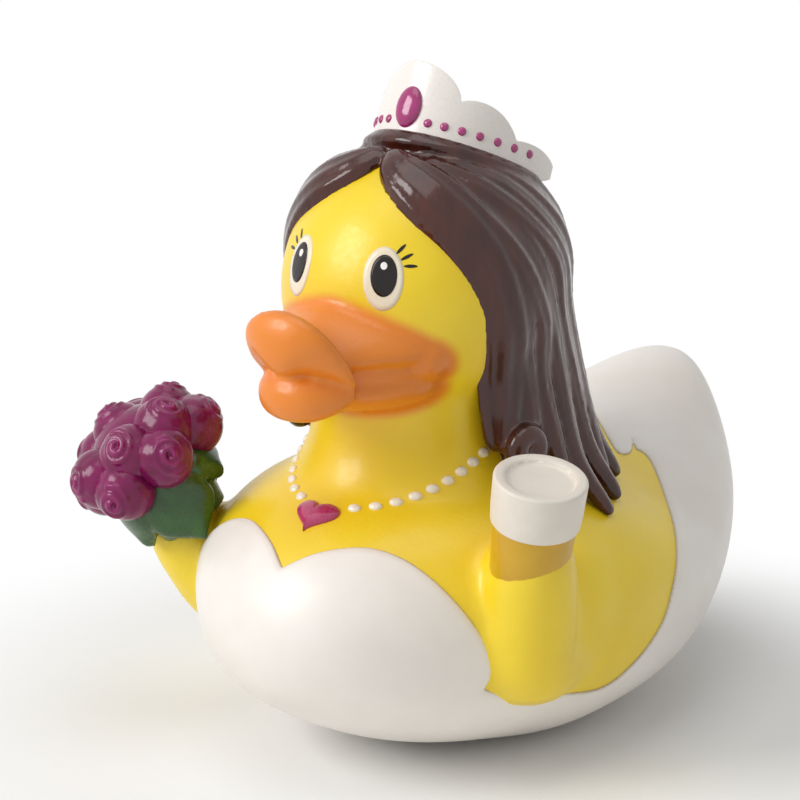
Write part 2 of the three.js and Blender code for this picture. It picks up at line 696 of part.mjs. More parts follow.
// The dress covers the trunk apart from one opening, cut from the front, from the sides and from above
function dress() {
  const cutter = (shape, depth) => {
    return new THREE.ExtrudeGeometry(shape, { depth, bevelEnabled: false, curveSegments: 2 });
  };
  const outside = TRUNK_HALF_WIDTH + 15;
  const neckline = [
    [0, NECKLINE_DIP],
    [NECKLINE_LOBE_OFFSET * 0.43, NECKLINE_LOBE - 1.1],
    [NECKLINE_LOBE_OFFSET, NECKLINE_LOBE],
    [NECKLINE_LOBE_OFFSET + 4.6, NECKLINE_LOBE - 1],
    [SLEEVE_HALF_WIDTH - 3.2, NECKLINE_LOBE - 7],
    [SLEEVE_HALF_WIDTH - 0.8, NECKLINE_LOBE - 11.2],
    [SLEEVE_HALF_WIDTH, NECKLINE_LOBE - 15.4],
    [SLEEVE_HALF_WIDTH - 1, SLEEVE_CORNER],
  ];
  const breastDepth = 60;
  const breastCut = cutter(mirrored([neckline], [[outside, SLEEVE_CORNER], [outside, FAR]]), breastDepth);
  breastCut.rotateX(Math.PI / 2);
  breastCut.translate(0, -8, 0);

  const sleeve = new THREE.Shape();
  sleeve.moveTo(SLEEVE_START, SLEEVE_CORNER);
  sleeve.splineThru([
    [SLEEVE_START + 4.8, SLEEVE_FLOOR + 2.6],
    [SLEEVE_START + 11.4, SLEEVE_FLOOR + 1.4],
    [SLEEVE_END - 13.8, SLEEVE_FLOOR],
    [SLEEVE_END - 8.5, SLEEVE_FLOOR + 2.6],
    [SLEEVE_END - 3.5, SLEEVE_FLOOR + 7],
    [SLEEVE_END, SLEEVE_END_HEIGHT],
  ].map(([along, height]) => new THREE.Vector2(along, height)));
  sleeve.lineTo(SLEEVE_END, FAR);
  sleeve.lineTo(SLEEVE_START, FAR);
  const sleeveCut = cutter(sleeve, FAR);
  sleeveCut.rotateX(Math.PI / 2).rotateZ(Math.PI / 2);
  sleeveCut.translate(-FAR / 2, 0, 0);

  const lobe = [
    [0, BACK_DIP],
    [BACK_LOBE_OFFSET * 0.34, BACK_DIP - 4],
    [BACK_LOBE_OFFSET * 0.68, BACK_LOBE + 2.5],
    [BACK_LOBE_OFFSET * 0.92, BACK_LOBE],
    [BACK_LOBE_OFFSET + 0.4, BACK_LOBE + 0.7],
    [BACK_LOBE_OFFSET, BACK_LOBE + 2.8],
    [BACK_LOBE_OFFSET - 1.8, BACK_SLIT],
  ];
  const strap = [
    lobe.at(-1),
    [BACK_LOBE_OFFSET + 1, BACK_SLIT - 1.8],
    [BACK_LOBE_OFFSET + 4.2, BACK_SLIT - 4.2],
    [TRUNK_HALF_WIDTH - 9.2, SLEEVE_END + 12.5],
    [TRUNK_HALF_WIDTH - 3.5, SLEEVE_END + 5.9],
    [TRUNK_HALF_WIDTH, SLEEVE_END],
  ];
  const backCut = cutter(mirrored([lobe, strap], [[outside, SLEEVE_END], [outside, 0]]), FAR);
  backCut.translate(0, 0, SLEEVE_END_HEIGHT);

  const cloth = solid(trunk(DRESS_RISE));
  return cloth.subtract(unite([breastCut, sleeveCut, backCut].map(solid)));
}

// The squeaker's seat in the base, as (radius, height) pairs for a turned cutter
function squeakerSeat() {
  const bore = SQUEAKER_BORE / 2;
  const below = -5;
  const above = COLLAR_HEIGHT + 3;
  const pairs = [
    [0, below],
    [SEAT_RADIUS, below],
    [SEAT_RADIUS, SEAT_DEPTH],
    [bore, SEAT_DEPTH],
    [bore, above],
    [0, above],
  ];
  return turned(pairs, 32).translate(0, SQUEAKER_SET_BACK, 0);
}

function collar() {
  const outer = SQUEAKER_BORE / 2 + COLLAR_WALL;
  const pairs = [
    [0, 0],
    [outer + 1, 0],
    [outer, COLLAR_HEIGHT],
    [0, COLLAR_HEIGHT],
  ];
  return turned(pairs, 32).translate(0, SQUEAKER_SET_BACK, 0);
}

function duckBody() {
  const floor = block(new THREE.Vector3(-FAR, -FAR, -FAR), new THREE.Vector3(FAR, FAR, 0));
  const innerFloor = block(new THREE.Vector3(-FAR, -FAR, -FAR), new THREE.Vector3(FAR, FAR, WALL));
  const yellow = unite([trunk(0), neck(0), head(0)].map(solid));
  const skinMesh = new THREE.Mesh(geometryOf(yellow));
  const details = [
    dress(),
    beak(),
    hair(),
    tiara(),
    necklace(skinMesh),
    pendant(skinMesh),
    wing(LEFT_HAND, 1),
    wing(RIGHT_HAND, -1),
    solid(glass()),
    bouquet(),
  ];
  const outside = unite([yellow, ...details]).subtract(solid(floor));
  const inside = unite([trunk(-WALL, 12, 14), neck(-WALL, 14), head(-WALL, 14, 8)].map(solid));
  const hollow = inside.subtract(solid(innerFloor)).subtract(solid(collar()));
  return outside.subtract(hollow).subtract(solid(squeakerSeat()));
}

// The height of the ledge inside the squeaker's cup, which the reed lies on
const ledgeHeight = COLLAR_HEIGHT + CLEARANCE - REED_LEDGE;

// The squeaker's cup: a flange in the seat, a barrel in the bore, a lip above the collar
function squeakerCup() {
  const barrel = SQUEAKER_BORE / 2 - CLEARANCE;
  const flange = SEAT_RADIUS - CLEARANCE;
  const flangeTop = SEAT_DEPTH - CLEARANCE;
  const lipStart = COLLAR_HEIGHT + CLEARANCE;
  const rim = lipStart + SNAP_LIP_HEIGHT;
  const inner = barrel - SQUEAKER_WALL;
  const floorTop = FLANGE_RECESS + SQUEAKER_WALL;
  return turned([
    [SOUND_HOLE / 2, FLANGE_RECESS],
    [flange, FLANGE_RECESS],
    [flange, flangeTop],
    [barrel, flangeTop],
    [barrel, lipStart],
    [barrel + SNAP_LIP, lipStart + SNAP_LIP_HEIGHT / 4],
    [barrel, rim],
    [inner, rim],
    [inner, ledgeHeight],
    [inner - REED_LEDGE, ledgeHeight],
    [inner - REED_LEDGE, floorTop],
    [SOUND_HOLE / 2, floorTop],
    [SOUND_HOLE / 2, FLANGE_RECESS],
  ], 32);
}

// A thin disc with a curved slot, which leaves a tongue that buzzes in the stream of air
function squeakerReed() {
  const radius = SQUEAKER_BORE / 2 - 2 * CLEARANCE - SQUEAKER_WALL;
  const tongueHinge = degToRad(30);
  const disc = new THREE.Shape();
  disc.absarc(0, 0, radius, 0, 2 * Math.PI);
  const slot = new THREE.Path();
  slot.absarc(0, 0, radius * 0.55, tongueHinge, 2 * Math.PI - tongueHinge);
  slot.absarc(0, 0, radius * 0.4, 2 * Math.PI - tongueHinge, tongueHinge, true);
  disc.holes.push(slot);
  const settings = { depth: REED_THICKNESS, bevelEnabled: false, curveSegments: 14 };
  return new THREE.ExtrudeGeometry(disc, settings).translate(0, 0, ledgeHeight + CLEARANCE);
}

function part(name, geometry, colour, roughness, place = new THREE.Vector3()) {
  const material = new THREE.MeshStandardMaterial({ color: colour, roughness, metalness: 0 });
  const mesh = new THREE.Mesh(geometry, material);
  mesh.name = name;
  mesh.position.copy(place);
  return mesh;
}

const squeakerPlace = new THREE.Vector3(0, SQUEAKER_SET_BACK, 0);
const duck = new THREE.Group();
duck.add(part('duck_body', geometryOf(duckBody()), 0xf7d84a, 0.45));
duck.add(part('squeaker_cup', squeakerCup(), 0xf2f0ea, 0.4, squeakerPlace));
duck.add(part('squeaker_reed', squeakerReed(), 0xd9d6cf, 0.35, squeakerPlace));

export default duck;
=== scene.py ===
# A bath duck dressed as a bride, in painted soft vinyl that was moulded in one piece.
# Lengths are in millimetres until place_in_frame() turns a finished piece into metres.
import math

import bmesh
import bpy
import numpy as np
from mathutils import Matrix, Vector
from mathutils.bvhtree import BVHTree
from mathutils.interpolate import poly_3d_calc
from mathutils.kdtree import KDTree

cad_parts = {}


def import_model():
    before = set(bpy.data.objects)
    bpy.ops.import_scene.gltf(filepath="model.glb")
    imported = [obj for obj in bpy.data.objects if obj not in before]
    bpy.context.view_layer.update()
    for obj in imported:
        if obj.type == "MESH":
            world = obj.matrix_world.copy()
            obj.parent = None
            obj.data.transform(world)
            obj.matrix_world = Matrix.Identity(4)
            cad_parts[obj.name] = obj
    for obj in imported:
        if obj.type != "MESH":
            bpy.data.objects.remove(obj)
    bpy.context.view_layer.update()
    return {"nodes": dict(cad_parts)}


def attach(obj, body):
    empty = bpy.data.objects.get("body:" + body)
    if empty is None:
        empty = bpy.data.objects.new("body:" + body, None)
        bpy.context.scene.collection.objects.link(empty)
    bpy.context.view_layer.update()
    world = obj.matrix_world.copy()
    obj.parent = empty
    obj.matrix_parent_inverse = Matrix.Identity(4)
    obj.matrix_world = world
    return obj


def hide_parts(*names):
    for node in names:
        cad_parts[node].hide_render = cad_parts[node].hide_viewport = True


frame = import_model()

MM = 0.001

# Trunk: a boat hull with a swept-up tail
TRUNK_LENGTH = 105.5
TRUNK_FRONT = -41.7
TRUNK_HALF_WIDTH = 32.5
TRUNK_RISE = 21
TRUNK_DROP = 23.8
KEEL_HEIGHT = 21.5
TAIL_LIFT = 19

# Neck and head
NECK_RADIUS = 17.6
NECK_NARROWING = 0.84
HEAD = Vector((0, -5.7, 66))
HEAD_RADII = Vector((19.3, 21, 20.5))

# Eyes, measured on the face: place and half width and height
EYE = Vector((7.2, -24.4, 71))
EYE_RADII = (2.8, 4.3)
PUPIL_RADII = (1.82, 2.82)
GLINT_RADII = (0.46, 0.52)
LASH_RADII = (0.23, 0.95)
INK_THICKNESS = 0.12

# Lashes: how far out from and above the middle of the eye, and how far they lean over in degrees
LASHES = [(2.05, 4.5, 42), (2.85, 3.35, 62), (3.35, 1.95, 90)]

# Hair: the ellipsoid of its outer face, how it draws in beside the face and how it spreads at the back
HAIR = Vector((0, -4, 66))
HAIR_RADII = Vector((20.4, 22, 22.8))
HAIR_WAIST = 2.6
WAIST_SPAN = 26
HAIR_FLARE = 0.3
FLARE_START = 4
HAIR_CLEARANCE = 0.4

# Above the shoulders a lock's middle may lie under the skin, because its thickness stands out of it.
# Towards the parting the forelocks come up again, so that no gap shows.
SHOULDER_TOP = 50
PARTING_HEIGHT = 86
PARTING_EASE = 12

# Forelock: degrees round from the face, and height from the middle of the hair
FORELOCK = [(3, 20.5), (18, 18.5), (36, 15.5), (52, 11), (63, 5), (70, -3), (73, -10), (71, -16),
            (67, -20.5)]

# Locks: how much of its turn each one has made at each height, the angles of the first and the last lock,
# and the heights of the tips
LOCK_FALL = [(0.04, 20.6), (0.22, 18.6), (0.44, 15.5), (0.64, 11), (0.79, 5), (0.91, -3), (0.98, -11)]
LOCK_SPREAD = (84, 175)
LOCK_TIPS = [-24, -30, -36, -35, -31, -35, -32, -36, -34]
LOCK_HALF_WIDTH = 2.9
LOCK_RIBS = 10
LOCK_RIB_DEPTH = 0.06

# Curtain of hair under the locks: it starts at this angle and is full a little further round
CURTAIN_OVERLAP = 4
CURTAIN_BOTTOM = 33
CURTAIN_DEPTH = 2.2
CURTAIN_CORE = 10
CURTAIN_START = 66
CURTAIN_EASE = 14

# Curl at the end of the front lock: its place is an angle and a height
CURL_RADIUS = 1.8
CURL_THICKNESS = 1.75
CURL_PLACE = (77, 46)

# Tiara
TIARA_HALF_WIDTH = 11.5
TIARA_HALF_DEPTH = 16.5
TIARA_TILT = 23
TIARA_SPAN = 98
TIARA_THICKNESS = 1.8
TIARA_SET_BACK = 9.7
TIARA_SUNK = 7.1
# Lobes of the tiara's edge: first and last angle, crest, and the heights of the dips on either side
TIARA_LOBES = [(-31, 31, 9.8, 5.2, 5.2), (31, 67, 6.2, 5.2, 2.4), (67, 98, 2.9, 2.4, 1.2)]
# The foot lies this far down in the hair and rises from the end angle on
TIARA_FOOT = 2.2
TIARA_END = 74
TIARA_END_RISE = 1.6
JEWEL_RADII = (2.0, 0.95, 2.95)
JEWEL_HEIGHT = 3.224
BEADS_PER_SIDE = 7
BEAD_START = 15.5
BEAD_SPACING = 10.3
BEAD_HEIGHT = 1.4
BEAD_RADII = (0.62, 0.62, 0.35)

# Dress: how far it stands off the skin, how wide its round edge is and how far that dips into the skin
DRESS_RISE = 0.5
DRESS_EDGE = 0.9
DRESS_TUCK = 0.1
DRESS_WALL = 1.2
# Width of the grey line of painted shade along the dress's edge
HEM_SHADE_WIDTH = 0.5
OUTLINE_STEPS = 8
# On the unit sphere: under this y all is cloth, and bands of these widths along the edge get finer faces
CLOTH_UP_TO = -0.9
HEM_UP_TO = -0.8
HEM_BANDS = (0.07, 0.035)

# Necklace
PEARLS_PER_SIDE = 9
PEARL_START = 12
PEARL_SPACING = 7.2
PEARL_RADII = (0.95, 0.72, 0.5)
NECKLACE_DROP = 39
NECKLACE_RISE = 45
NECKLACE_CURVE = 1.3
PENDANT_SIZE = 6.9
PENDANT_HEIGHT = 38
PENDANT_SQUASH = 0.87
# The heart's curve is this wide before it is scaled
HEART_WIDTH = 32

# A ray that looks for the skin starts this far outside
OUTSIDE = 80

# Wings that end in hands
HAND_RADIUS = 7
WING_RADIUS = 8
ELBOW = Vector((26, -17, 19))
LEFT_HAND = Vector((30.2, -21.7, 39.5))
RIGHT_HAND = Vector((-30, -26, 32.5))
SHOULDER = Vector((24.5, -6, 23.5))
SHOULDER_RADII = Vector((8.4, 15, 11))

# Orange of the bill: it is full this far over the face and then fades, all within these limits
ORANGE_FULL = 0.2
ORANGE_FADE = 1.8
ORANGE_BACK = -8
ORANGE_HEIGHTS = (44, 74)

# Glass in the left hand
GLASS_TOP = Vector((32, -22.8, 47.4))
GLASS_AXIS = Vector((0.23, -0.14, 1)).normalized()
GLASS_RIM = 6
GLASS_FOOT = 5.2
GLASS_HEIGHT = 15
FOAM_HEIGHT = 7
FOAM_STEP = 0.35
FOAM_RIM = 4.9
FOAM_RECESS = 0.7

# Bouquet in the right hand
BOUQUET = Vector((-31.6, -28.8, 40))
BOUQUET_AXIS = Vector((-0.48, -0.37, 0.815)).normalized()
BOUQUET_RADIUS = 8.2
BOUQUET_FLATTENING = 0.62
ROSE_RADIUS = 4.5
# Shares of the rose's radius between which a painted highlight turns its crests paler
CREST_HIGHLIGHT_START = 0.8
CREST_HIGHLIGHT_END = 1.05

# Roses: how far each one leans from the bouquet's axis, and where it is round it, in degrees
ROSES = [(12, 150), (50, -54), (52, 4), (50, 64), (52, 124), (54, 180), (60, -108), (84, -26), (90, -78),
         (84, 34), (84, 88), (84, 142), (86, -160)]

# Leaves: how far down the stems each tip reaches, the angle of the first leaf, and how far out a leaf lies
# at shares of its length
LEAF_TIPS = [12.8, 8, 10.5, 11.5, 10]
LEAF_START = -44
LEAF_RUN = [(0.08, 6.3), (0.4, 6.2), (0.72, 6.2), (1, 7.3)]

# Squeaker in the base
SQUEAKER_SET_BACK = 10.5
SEAT_RADIUS = 7.2
SEAT_DEPTH = 1.8
POCKET_RADIUS = 6.6
POCKET_HEIGHT = 9

# Voxels that overlapping forms are melted in: larger ones leave wider fillets
BODY_VOXEL = 0.9
SKIN_VOXEL = 0.58
HAIR_VOXEL = 0.42
ROSE_VOXEL = 0.24
LEAF_VOXEL = 0.4

# Soft PVC under its paint, and the two values that the noise in a paint seldom leaves
VINYL_IOR = 1.53
COAT_ROUGHNESS = 0.1
NOISE_LOW = 0.3
NOISE_HIGH = 0.7

# Camera, in degrees and millimetres, and the point that the lamps face
CAMERA_AZIMUTH = 37
CAMERA_ELEVATION = 15
CAMERA_DISTANCE = 420
CAMERA_TARGET = Vector((-12.52, 5.54, 44.65))
LENS = 127.6
LAMP_TARGET = Vector((0, 0, 45))

# Light and floor: the world's share of the light, and where the floor's shadow fades into white
AMBIENT = 0.37
FLOOR_SHADOW = (52, 100)

ACROSS = Vector((1, 0, 0))
UP = Vector((0, 0, 1))


# Modelling helpers

def deselect():
    if bpy.context.object and bpy.context.object.mode != "OBJECT":
        bpy.ops.object.mode_set(mode="OBJECT")
    bpy.ops.object.select_all(action="DESELECT")


def pick(*pieces):
    """Selects only these pieces and makes the first one active."""
    deselect()
    for piece in pieces:
        piece.select_set(True)
    bpy.context.view_layer.objects.active = pieces[0]


def primitive(add, name, **settings):
    """Adds a primitive with these settings under this name."""
    deselect()
    add(**settings)
    piece = bpy.context.object
    piece.name = name
    piece.data.name = name
    bpy.ops.object.transform_apply(location=True, rotation=True, scale=True)
    return piece


def unit_sphere(name, segments, rings):
    return primitive(
        bpy.ops.mesh.primitive_uv_sphere_add, name, segments=segments, ring_count=rings, radius=1)


def copy_of(piece):
    twin = piece.copy()
    twin.data = piece.data.copy()
    bpy.context.collection.objects.link(twin)
    return twin


def finish(piece, kind, **settings):
    """Adds a modifier with these settings and applies it."""
    pick(piece)
    modifier = piece.modifiers.new(kind.title(), kind)
    for name, value in settings.items():
        setattr(modifier, name, value)
    bpy.ops.object.modifier_apply(modifier=modifier.name)
    return piece


def edit(piece, *steps):
    """Runs edit-mode operators on the whole of a piece."""
    pick(piece)
    bpy.ops.object.mode_set(mode="EDIT")
    bpy.ops.mesh.select_all(action="SELECT")
    for operator, settings in steps:
        operator(**settings)
    bpy.ops.object.mode_set(mode="OBJECT")
    return piece


def face_outwards(piece):
    return edit(
        piece,
        (bpy.ops.mesh.remove_doubles, {"threshold": 0.001}),
        (bpy.ops.mesh.normals_make_consistent, {"inside": False}),
    )


def reshape(piece, place):
    """Moves each vertex to where place() puts it."""
    for vertex in piece.data.vertices:
        vertex.co = place(vertex.co.copy())
    return piece


def join(name, parts):
    pick(*parts)
    bpy.ops.object.join()
    piece = bpy.context.object
    piece.name = name
    piece.data.name = name
    return piece


def fuse(piece, voxel, passes):
    """Melts overlapping forms into one skin and relaxes it, so that they meet in fillets."""
    finish(piece, "REMESH", mode="VOXEL", voxel_size=voxel, use_smooth_shade=True)
    return finish(piece, "SMOOTH", factor=0.5, iterations=passes)


def take_away(piece, cutter):
    finish(piece, "BOOLEAN", operation="DIFFERENCE", solver="EXACT", object=cutter)
    bpy.data.objects.remove(cutter)


def cut_off(piece, point, normal):
    """Cuts a piece along a plane, keeps the side that the normal points to and closes the cut."""
    bisect = {"plane_co": point, "plane_no": normal, "use_fill": True, "clear_inner": True}
    edit(piece, (bpy.ops.mesh.bisect, bisect))


def spline(values):
    """A smooth run through numbers or vectors as t goes from 0 to 1."""
    ends = [2 * values[0] - values[1], *values, 2 * values[-1] - values[-2]]
    spans = len(values) - 1

    def at(t):
        place = min(max(t, 0.0), 1.0) * spans
        span = min(int(place), spans - 1)
        s = place - span
        a, b, c, d = ends[span:span + 4]
        bend = (2 * a - 5 * b + 4 * c - d) * s**2
        return 0.5 * (2 * b + (c - a) * s + bend + (3 * b - a - 3 * c + d) * s**3)

    return at


def profile(*values):
    return spline([float(value) for value in values])


def tangent(path, t, step=0.01):
    return (path(min(t + step, 1)) - path(max(t - step, 0))).normalized()


def drawn(path, side, width, rise, drop=None, fullness=1.0, squareness=2.0, ribs=0, rib_depth=0.0,
          grow=None):
    """Returns the move that draws a unit sphere out along a path.
    side(t) is the direction of the width; rise and drop are the depths on either side of the path.
    Ribs are shallow ridges that run along the form, and grow(v) makes it larger all round."""
    drop = drop or rise
    stations = {}

    def station(t):
        if t not in stations:
            along = tangent(path, t)
            lateral = side(t).normalized()
            outward = -along.cross(lateral).normalized()
            stations[t] = (path(t), along, lateral, outward, width(t), rise(t), drop(t))
        return stations[t]

    def place(v):
        centre, along, lateral, outward, wide, high, low = station(round((1 - v.z) / 2, 5))
        more = grow(v) if grow else 0
        centre = centre - along * (v.z * more)
        ring = math.hypot(v.x, v.y)
        if ring < 1e-6:
            return centre
        swell = ring**fullness
        cos, sin = v.x / ring, v.y / ring
        if ribs:
            swell *= 1 + rib_depth * math.cos(ribs * math.atan2(sin, cos))
        power = 2 / squareness
        across = math.copysign(abs(cos)**power, cos) * (wide + more)
        deep = math.copysign(abs(sin)**power, sin) * ((high if sin > 0 else low) + more)
        return centre + lateral * (swell * across) + outward * (swell * deep)
    return place


def drawn_form(name, segments=32, rings=32, **shape):
    ball = unit_sphere(name, segments, rings)
    return face_outwards(reshape(ball, drawn(**shape)))


def ellipsoid(name, centre, radii, segments=32, rings=24):
    ball = unit_sphere(name, segments, rings)
    return reshape(ball, lambda v: Vector(centre) + Vector((v.x * radii[0], v.y * radii[1], v.z * radii[2])))


def lathe(name, pairs, segments=64):
    """Turns (radius, height) pairs about the vertical axis."""
    mesh = bpy.data.meshes.new(name)
    corners = [(radius, 0, height) for radius, height in pairs]
    mesh.from_pydata(corners, [(i, i + 1) for i in range(len(pairs) - 1)], [])
    piece = bpy.data.objects.new(name, mesh)
    bpy.context.collection.objects.link(piece)
    finish(piece, "SCREW", angle=math.tau, steps=segments, render_steps=segments, use_merge_vertices=True)
    return face_outwards(piece)


def stand_on(piece, foot, axis):
    """Turns a form from its own vertical axis to another one and moves it there."""
    turn = UP.rotation_difference(axis).to_matrix().to_4x4()
    piece.data.transform(Matrix.Translation(foot) @ turn)
    return piece


def tree_of(piece):
    return BVHTree.FromObject(piece, bpy.context.evaluated_depsgraph_get())


def seated(tree, point, lift):
    """The point, pushed out until it is at least this far above the surface."""
    nearest, normal, _, _ = tree.find_nearest(point)
    if (point - nearest).dot(normal) < lift:
        return nearest + normal * lift
    return point


# The trunk

def trunk_move(grow=None):
    """The move that draws a unit sphere out into the hull, grown by grow(v) millimetres."""
    lifts = [(0, 0.02), (0.14, 0.06), (0.28, 0.06), (0.42, 0.06), (0.61, 0.05), (0.81, 0.4), (0.975, 1.12)]
    spine = spline([
        Vector((0, TRUNK_FRONT + TRUNK_LENGTH * along, KEEL_HEIGHT + TAIL_LIFT * lift))
        for along, lift in lifts
    ])
    width = profile(0.935, 0.985, 1.01, 1.025, 1, 0.885, 0.67)
    rise = profile(1.06, 1.08, 1, 0.86, 0.72, 0.63, 0.54)
    drop = profile(0.91, 0.93, 0.94, 1, 0.98, 0.88, 0.68)
    return drawn(
        path=spine,
        side=lambda t: ACROSS,
        width=lambda t: TRUNK_HALF_WIDTH * width(t),
        rise=lambda t: TRUNK_RISE * rise(t),
        drop=lambda t: TRUNK_DROP * drop(t),
        squareness=2.15,
        grow=grow,
    )


def trunk():
    return face_outwards(reshape(unit_sphere("trunk", 96, 80), trunk_move()))


def neck():
    """The neck, turned from (share of its radius, height) stations and then narrowed across."""
    stations = [(1.34, 32), (1.28, 38), (1.12, 41.5), (1.02, 45), (0.99, 49), (1.02, 56), (1.0, 62)]
    radius = profile(*[share * NECK_RADIUS for share, _ in stations])
    height = profile(*[height for _, height in stations])
    steps = 24
    run = [(radius(step / steps), height(step / steps)) for step in range(steps + 1)]
    piece = lathe("neck", [(0, 30), *run, (0, 63)])
    return reshape(piece, lambda v: Vector((v.x * NECK_NARROWING, v.y + HEAD.y, v.z)))


def wing(hand, mirror):
    """An arm from inside the flank over the elbow to the hand, and the shoulder that it grows out of."""
    elbow = Vector((ELBOW.x * mirror, ELBOW.y, ELBOW.z))
    flank = Vector((mirror * (TRUNK_HALF_WIDTH - 7), 4, KEEL_HEIGHT + 2))
    points = [flank, elbow.lerp(flank, 0.45), elbow, elbow.lerp(hand, 0.5), hand]
    arm = drawn_form(
        "wing",
        path=spline(points),
        side=lambda t: Vector((mirror, 0.2, 0)),
        width=profile(WING_RADIUS * 0.8, WING_RADIUS * 0.8, HAND_RADIUS, HAND_RADIUS, HAND_RADIUS),
        rise=profile(WING_RADIUS, WING_RADIUS, WING_RADIUS * 0.8, HAND_RADIUS, HAND_RADIUS),
        fullness=0.4,
    )
    shoulder = ellipsoid("shoulder", (SHOULDER.x * mirror, SHOULDER.y, SHOULDER.z), SHOULDER_RADII)
    return [arm, shoulder]


def bill_part(name, stations, width, rise, drop, squareness=2.0):
    """A level loft that starts inside the head and follows (y, z) stations out of the face."""
    return drawn_form(
        name, 64, 64,
        path=spline([Vector((0, y, z)) for y, z in stations]),
        side=lambda t: -ACROSS,
        width=profile(*width),
        rise=profile(*rise),
        drop=profile(*drop),
        fullness=0.4,
        squareness=squareness,
    )


def lip(name, points, thickness, depth):
    """A roll that lies across the tip of the bill, full in the middle and thin at the corners of the mouth.
    The points run from the middle to one corner."""
    flip = Vector((-1, 1, 1))
    half = [Vector(point) for point in points]
    run = [point * flip for point in reversed(half[1:])] + half

    def full(t, least):
        return least + (1 - least) * math.sin(math.pi * t)

    return drawn_form(
        name, 72, 72,
        path=spline(run),
        side=lambda t: Vector((0, -1, 0)),
        width=lambda t: depth * full(t, 0.45),
        rise=lambda t: thickness * full(t, 0.3),
        fullness=0.6,
    )


def bill():
    """Upper and lower bill, which meet in a crease that runs back to the cheeks, and two full lips.
    The upper bill is roof-shaped at the face and turns round towards the lip."""
    roof = bill_part(
        "upper_bill", [(-12, 60.6), (-19, 60.6), (-25, 60.7), (-31, 60.8), (-36.4, 62)],
        (13.8, 13.9, 11.9, 8.6, 5.4), (7.2, 7.4, 6.6, 4.9, 3.2), (2.8, 2.8, 2.6, 2.8, 3), 1.5)
    lower = bill_part(
        "lower_bill", [(-12, 56.2), (-19, 56.2), (-25, 56), (-30, 55.8), (-34.4, 55.9)],
        (13.1, 13.1, 10.9, 7.6, 5.2), (2.4, 2.4, 2.3, 2.2, 2.4), (5, 5, 4, 2.9, 2.4))
    core = bill_part(
        "bill_core", [(-12, 60.3), (-19, 60.3), (-25, 60.4), (-30, 60.3), (-34, 60)],
        (13.8, 13.7, 11.5, 7.8, 4.8), (2.8, 2.8, 2.8, 2.8, 3), (2.5, 2.5, 2.5, 2.5, 2.6))
    crease = bill_part(
        "crease", [(-12, 58.4), (-19, 58.4), (-25, 58.4), (-30, 58.5), (-33.4, 58.5)],
        (13.4, 13.2, 10.8, 7.2, 4.5), (2.6, 2.6, 2.6, 2.4, 2.2), (2.6, 2.6, 2.6, 2.4, 2.2))
    upper_lip = lip(
        "upper_lip", [(0, -37.1, 63.7), (3.6, -36.5, 62.9), (6.2, -34, 60.4), (7.7, -31, 57.3)], 4.3, 2.3)
    lower_lip = lip(
        "lower_lip", [(0, -35.2, 55.8), (3.6, -34.6, 55.8), (6.3, -32.8, 56.1), (7.8, -31, 56.6)], 3.4, 2.7)
    cheeks = [ellipsoid("cheek", (side * 10.9, -19.6, 59.5), (3.1, 3.7, 3.1)) for side in (1, -1)]
    return [roof, lower, core, crease, upper_lip, lower_lip, *cheeks]


def skin():
    """Head, neck, trunk and wings melted into one form, and then the bill with its sharper lips."""
    head = ellipsoid("head", HEAD, HEAD_RADII, 64, 48)
    wings = [*wing(LEFT_HAND, 1), *wing(RIGHT_HAND, -1)]
    body = join("skin", [trunk(), neck(), head, *wings])
    fuse(body, BODY_VOXEL, 10)
    parts = bill()
    stencil = join("stencil", [copy_of(part) for part in parts])
    body = join("skin", [body, *parts])
    fuse(body, SKIN_VOXEL, 2)
    cut_off(body, (0, 0, DRESS_RISE), UP)
    take_away(body, squeaker_pocket())
    airbrush(body, stencil)
    return body


def airbrush(body, stencil):
    """Stores how much orange lies on each point of the skin: all on the bill, fading round it."""
    tree = tree_of(stencil)
    low, high = ORANGE_HEIGHTS
    layer = body.data.attributes.new("orange", "FLOAT", "POINT")
    for vertex, value in zip(body.data.vertices, layer.data):
        if vertex.co.y < ORANGE_BACK and low < vertex.co.z < high:
            nearest, normal, _, distance = tree.find_nearest(vertex.co)
            if (vertex.co - nearest).dot(normal) < 0:
                distance = 0
            value.value = max(0, 1 - max(0, distance - ORANGE_FULL) / ORANGE_FADE)
    bpy.data.objects.remove(stencil)


def squeaker_pocket():
    """The seat and the pocket that the squeaker sits in."""
    pairs = [(0, -5), (SEAT_RADIUS, -5), (SEAT_RADIUS, SEAT_DEPTH), (POCKET_RADIUS, SEAT_DEPTH),
             (POCKET_RADIUS, POCKET_HEIGHT), (0, POCKET_HEIGHT)]
    pocket = lathe("pocket", pairs)
    return reshape(pocket, lambda v: v + Vector((0, SQUEAKER_SET_BACK, 0)))


# The dress

def dress_outline():
    """The edge of the dress on the duck's left, from the dip at the breast to the dip at the back."""
    neckline = [(0, -37, 32.2), (4.3, -34.7, 34.8), (9.7, -31.7, 35.7), (14.3, -30, 34.8),
                (18.6, -28.8, 32.4), (22.2, -27.2, 28.6), (24.6, -25.4, 24.4), (25.6, -23.8, 20.4),
                (24.2, -24.2, 16.7)]
    sleeve = [(24.2, -24.2, 16.7), (26, -19.6, 14.6), (28, -13, 13.4), (29.5, -3.8, 12), (31.4, 1.5, 14.6),
              (32.7, 6.5, 19), (32.4, 10, 24.5), (29, 15.9, 29.2), (23.3, 22.5, 32.1), (16.6, 29.3, 34.4),
              (14, 31, 35.1), (12.6, 31.2, 35.5), (10.6, 33.4, 36)]
    lobe = [(10.6, 33.4, 36), (12.4, 30.6, 35.4), (12.9, 28.4, 35.3), (11.5, 27.8, 35.5), (8.5, 30.3, 36.1),
            (4.1, 34.5, 37), (0, 38.5, 38)]
    outline = []
    for run in (neckline, sleeve, lobe):
        edge = spline([Vector(point) for point in run])
        steps = OUTLINE_STEPS * (len(run) - 1)
        outline += [edge(step / steps) for step in range(steps)]
    return outline + [Vector(lobe[-1])]


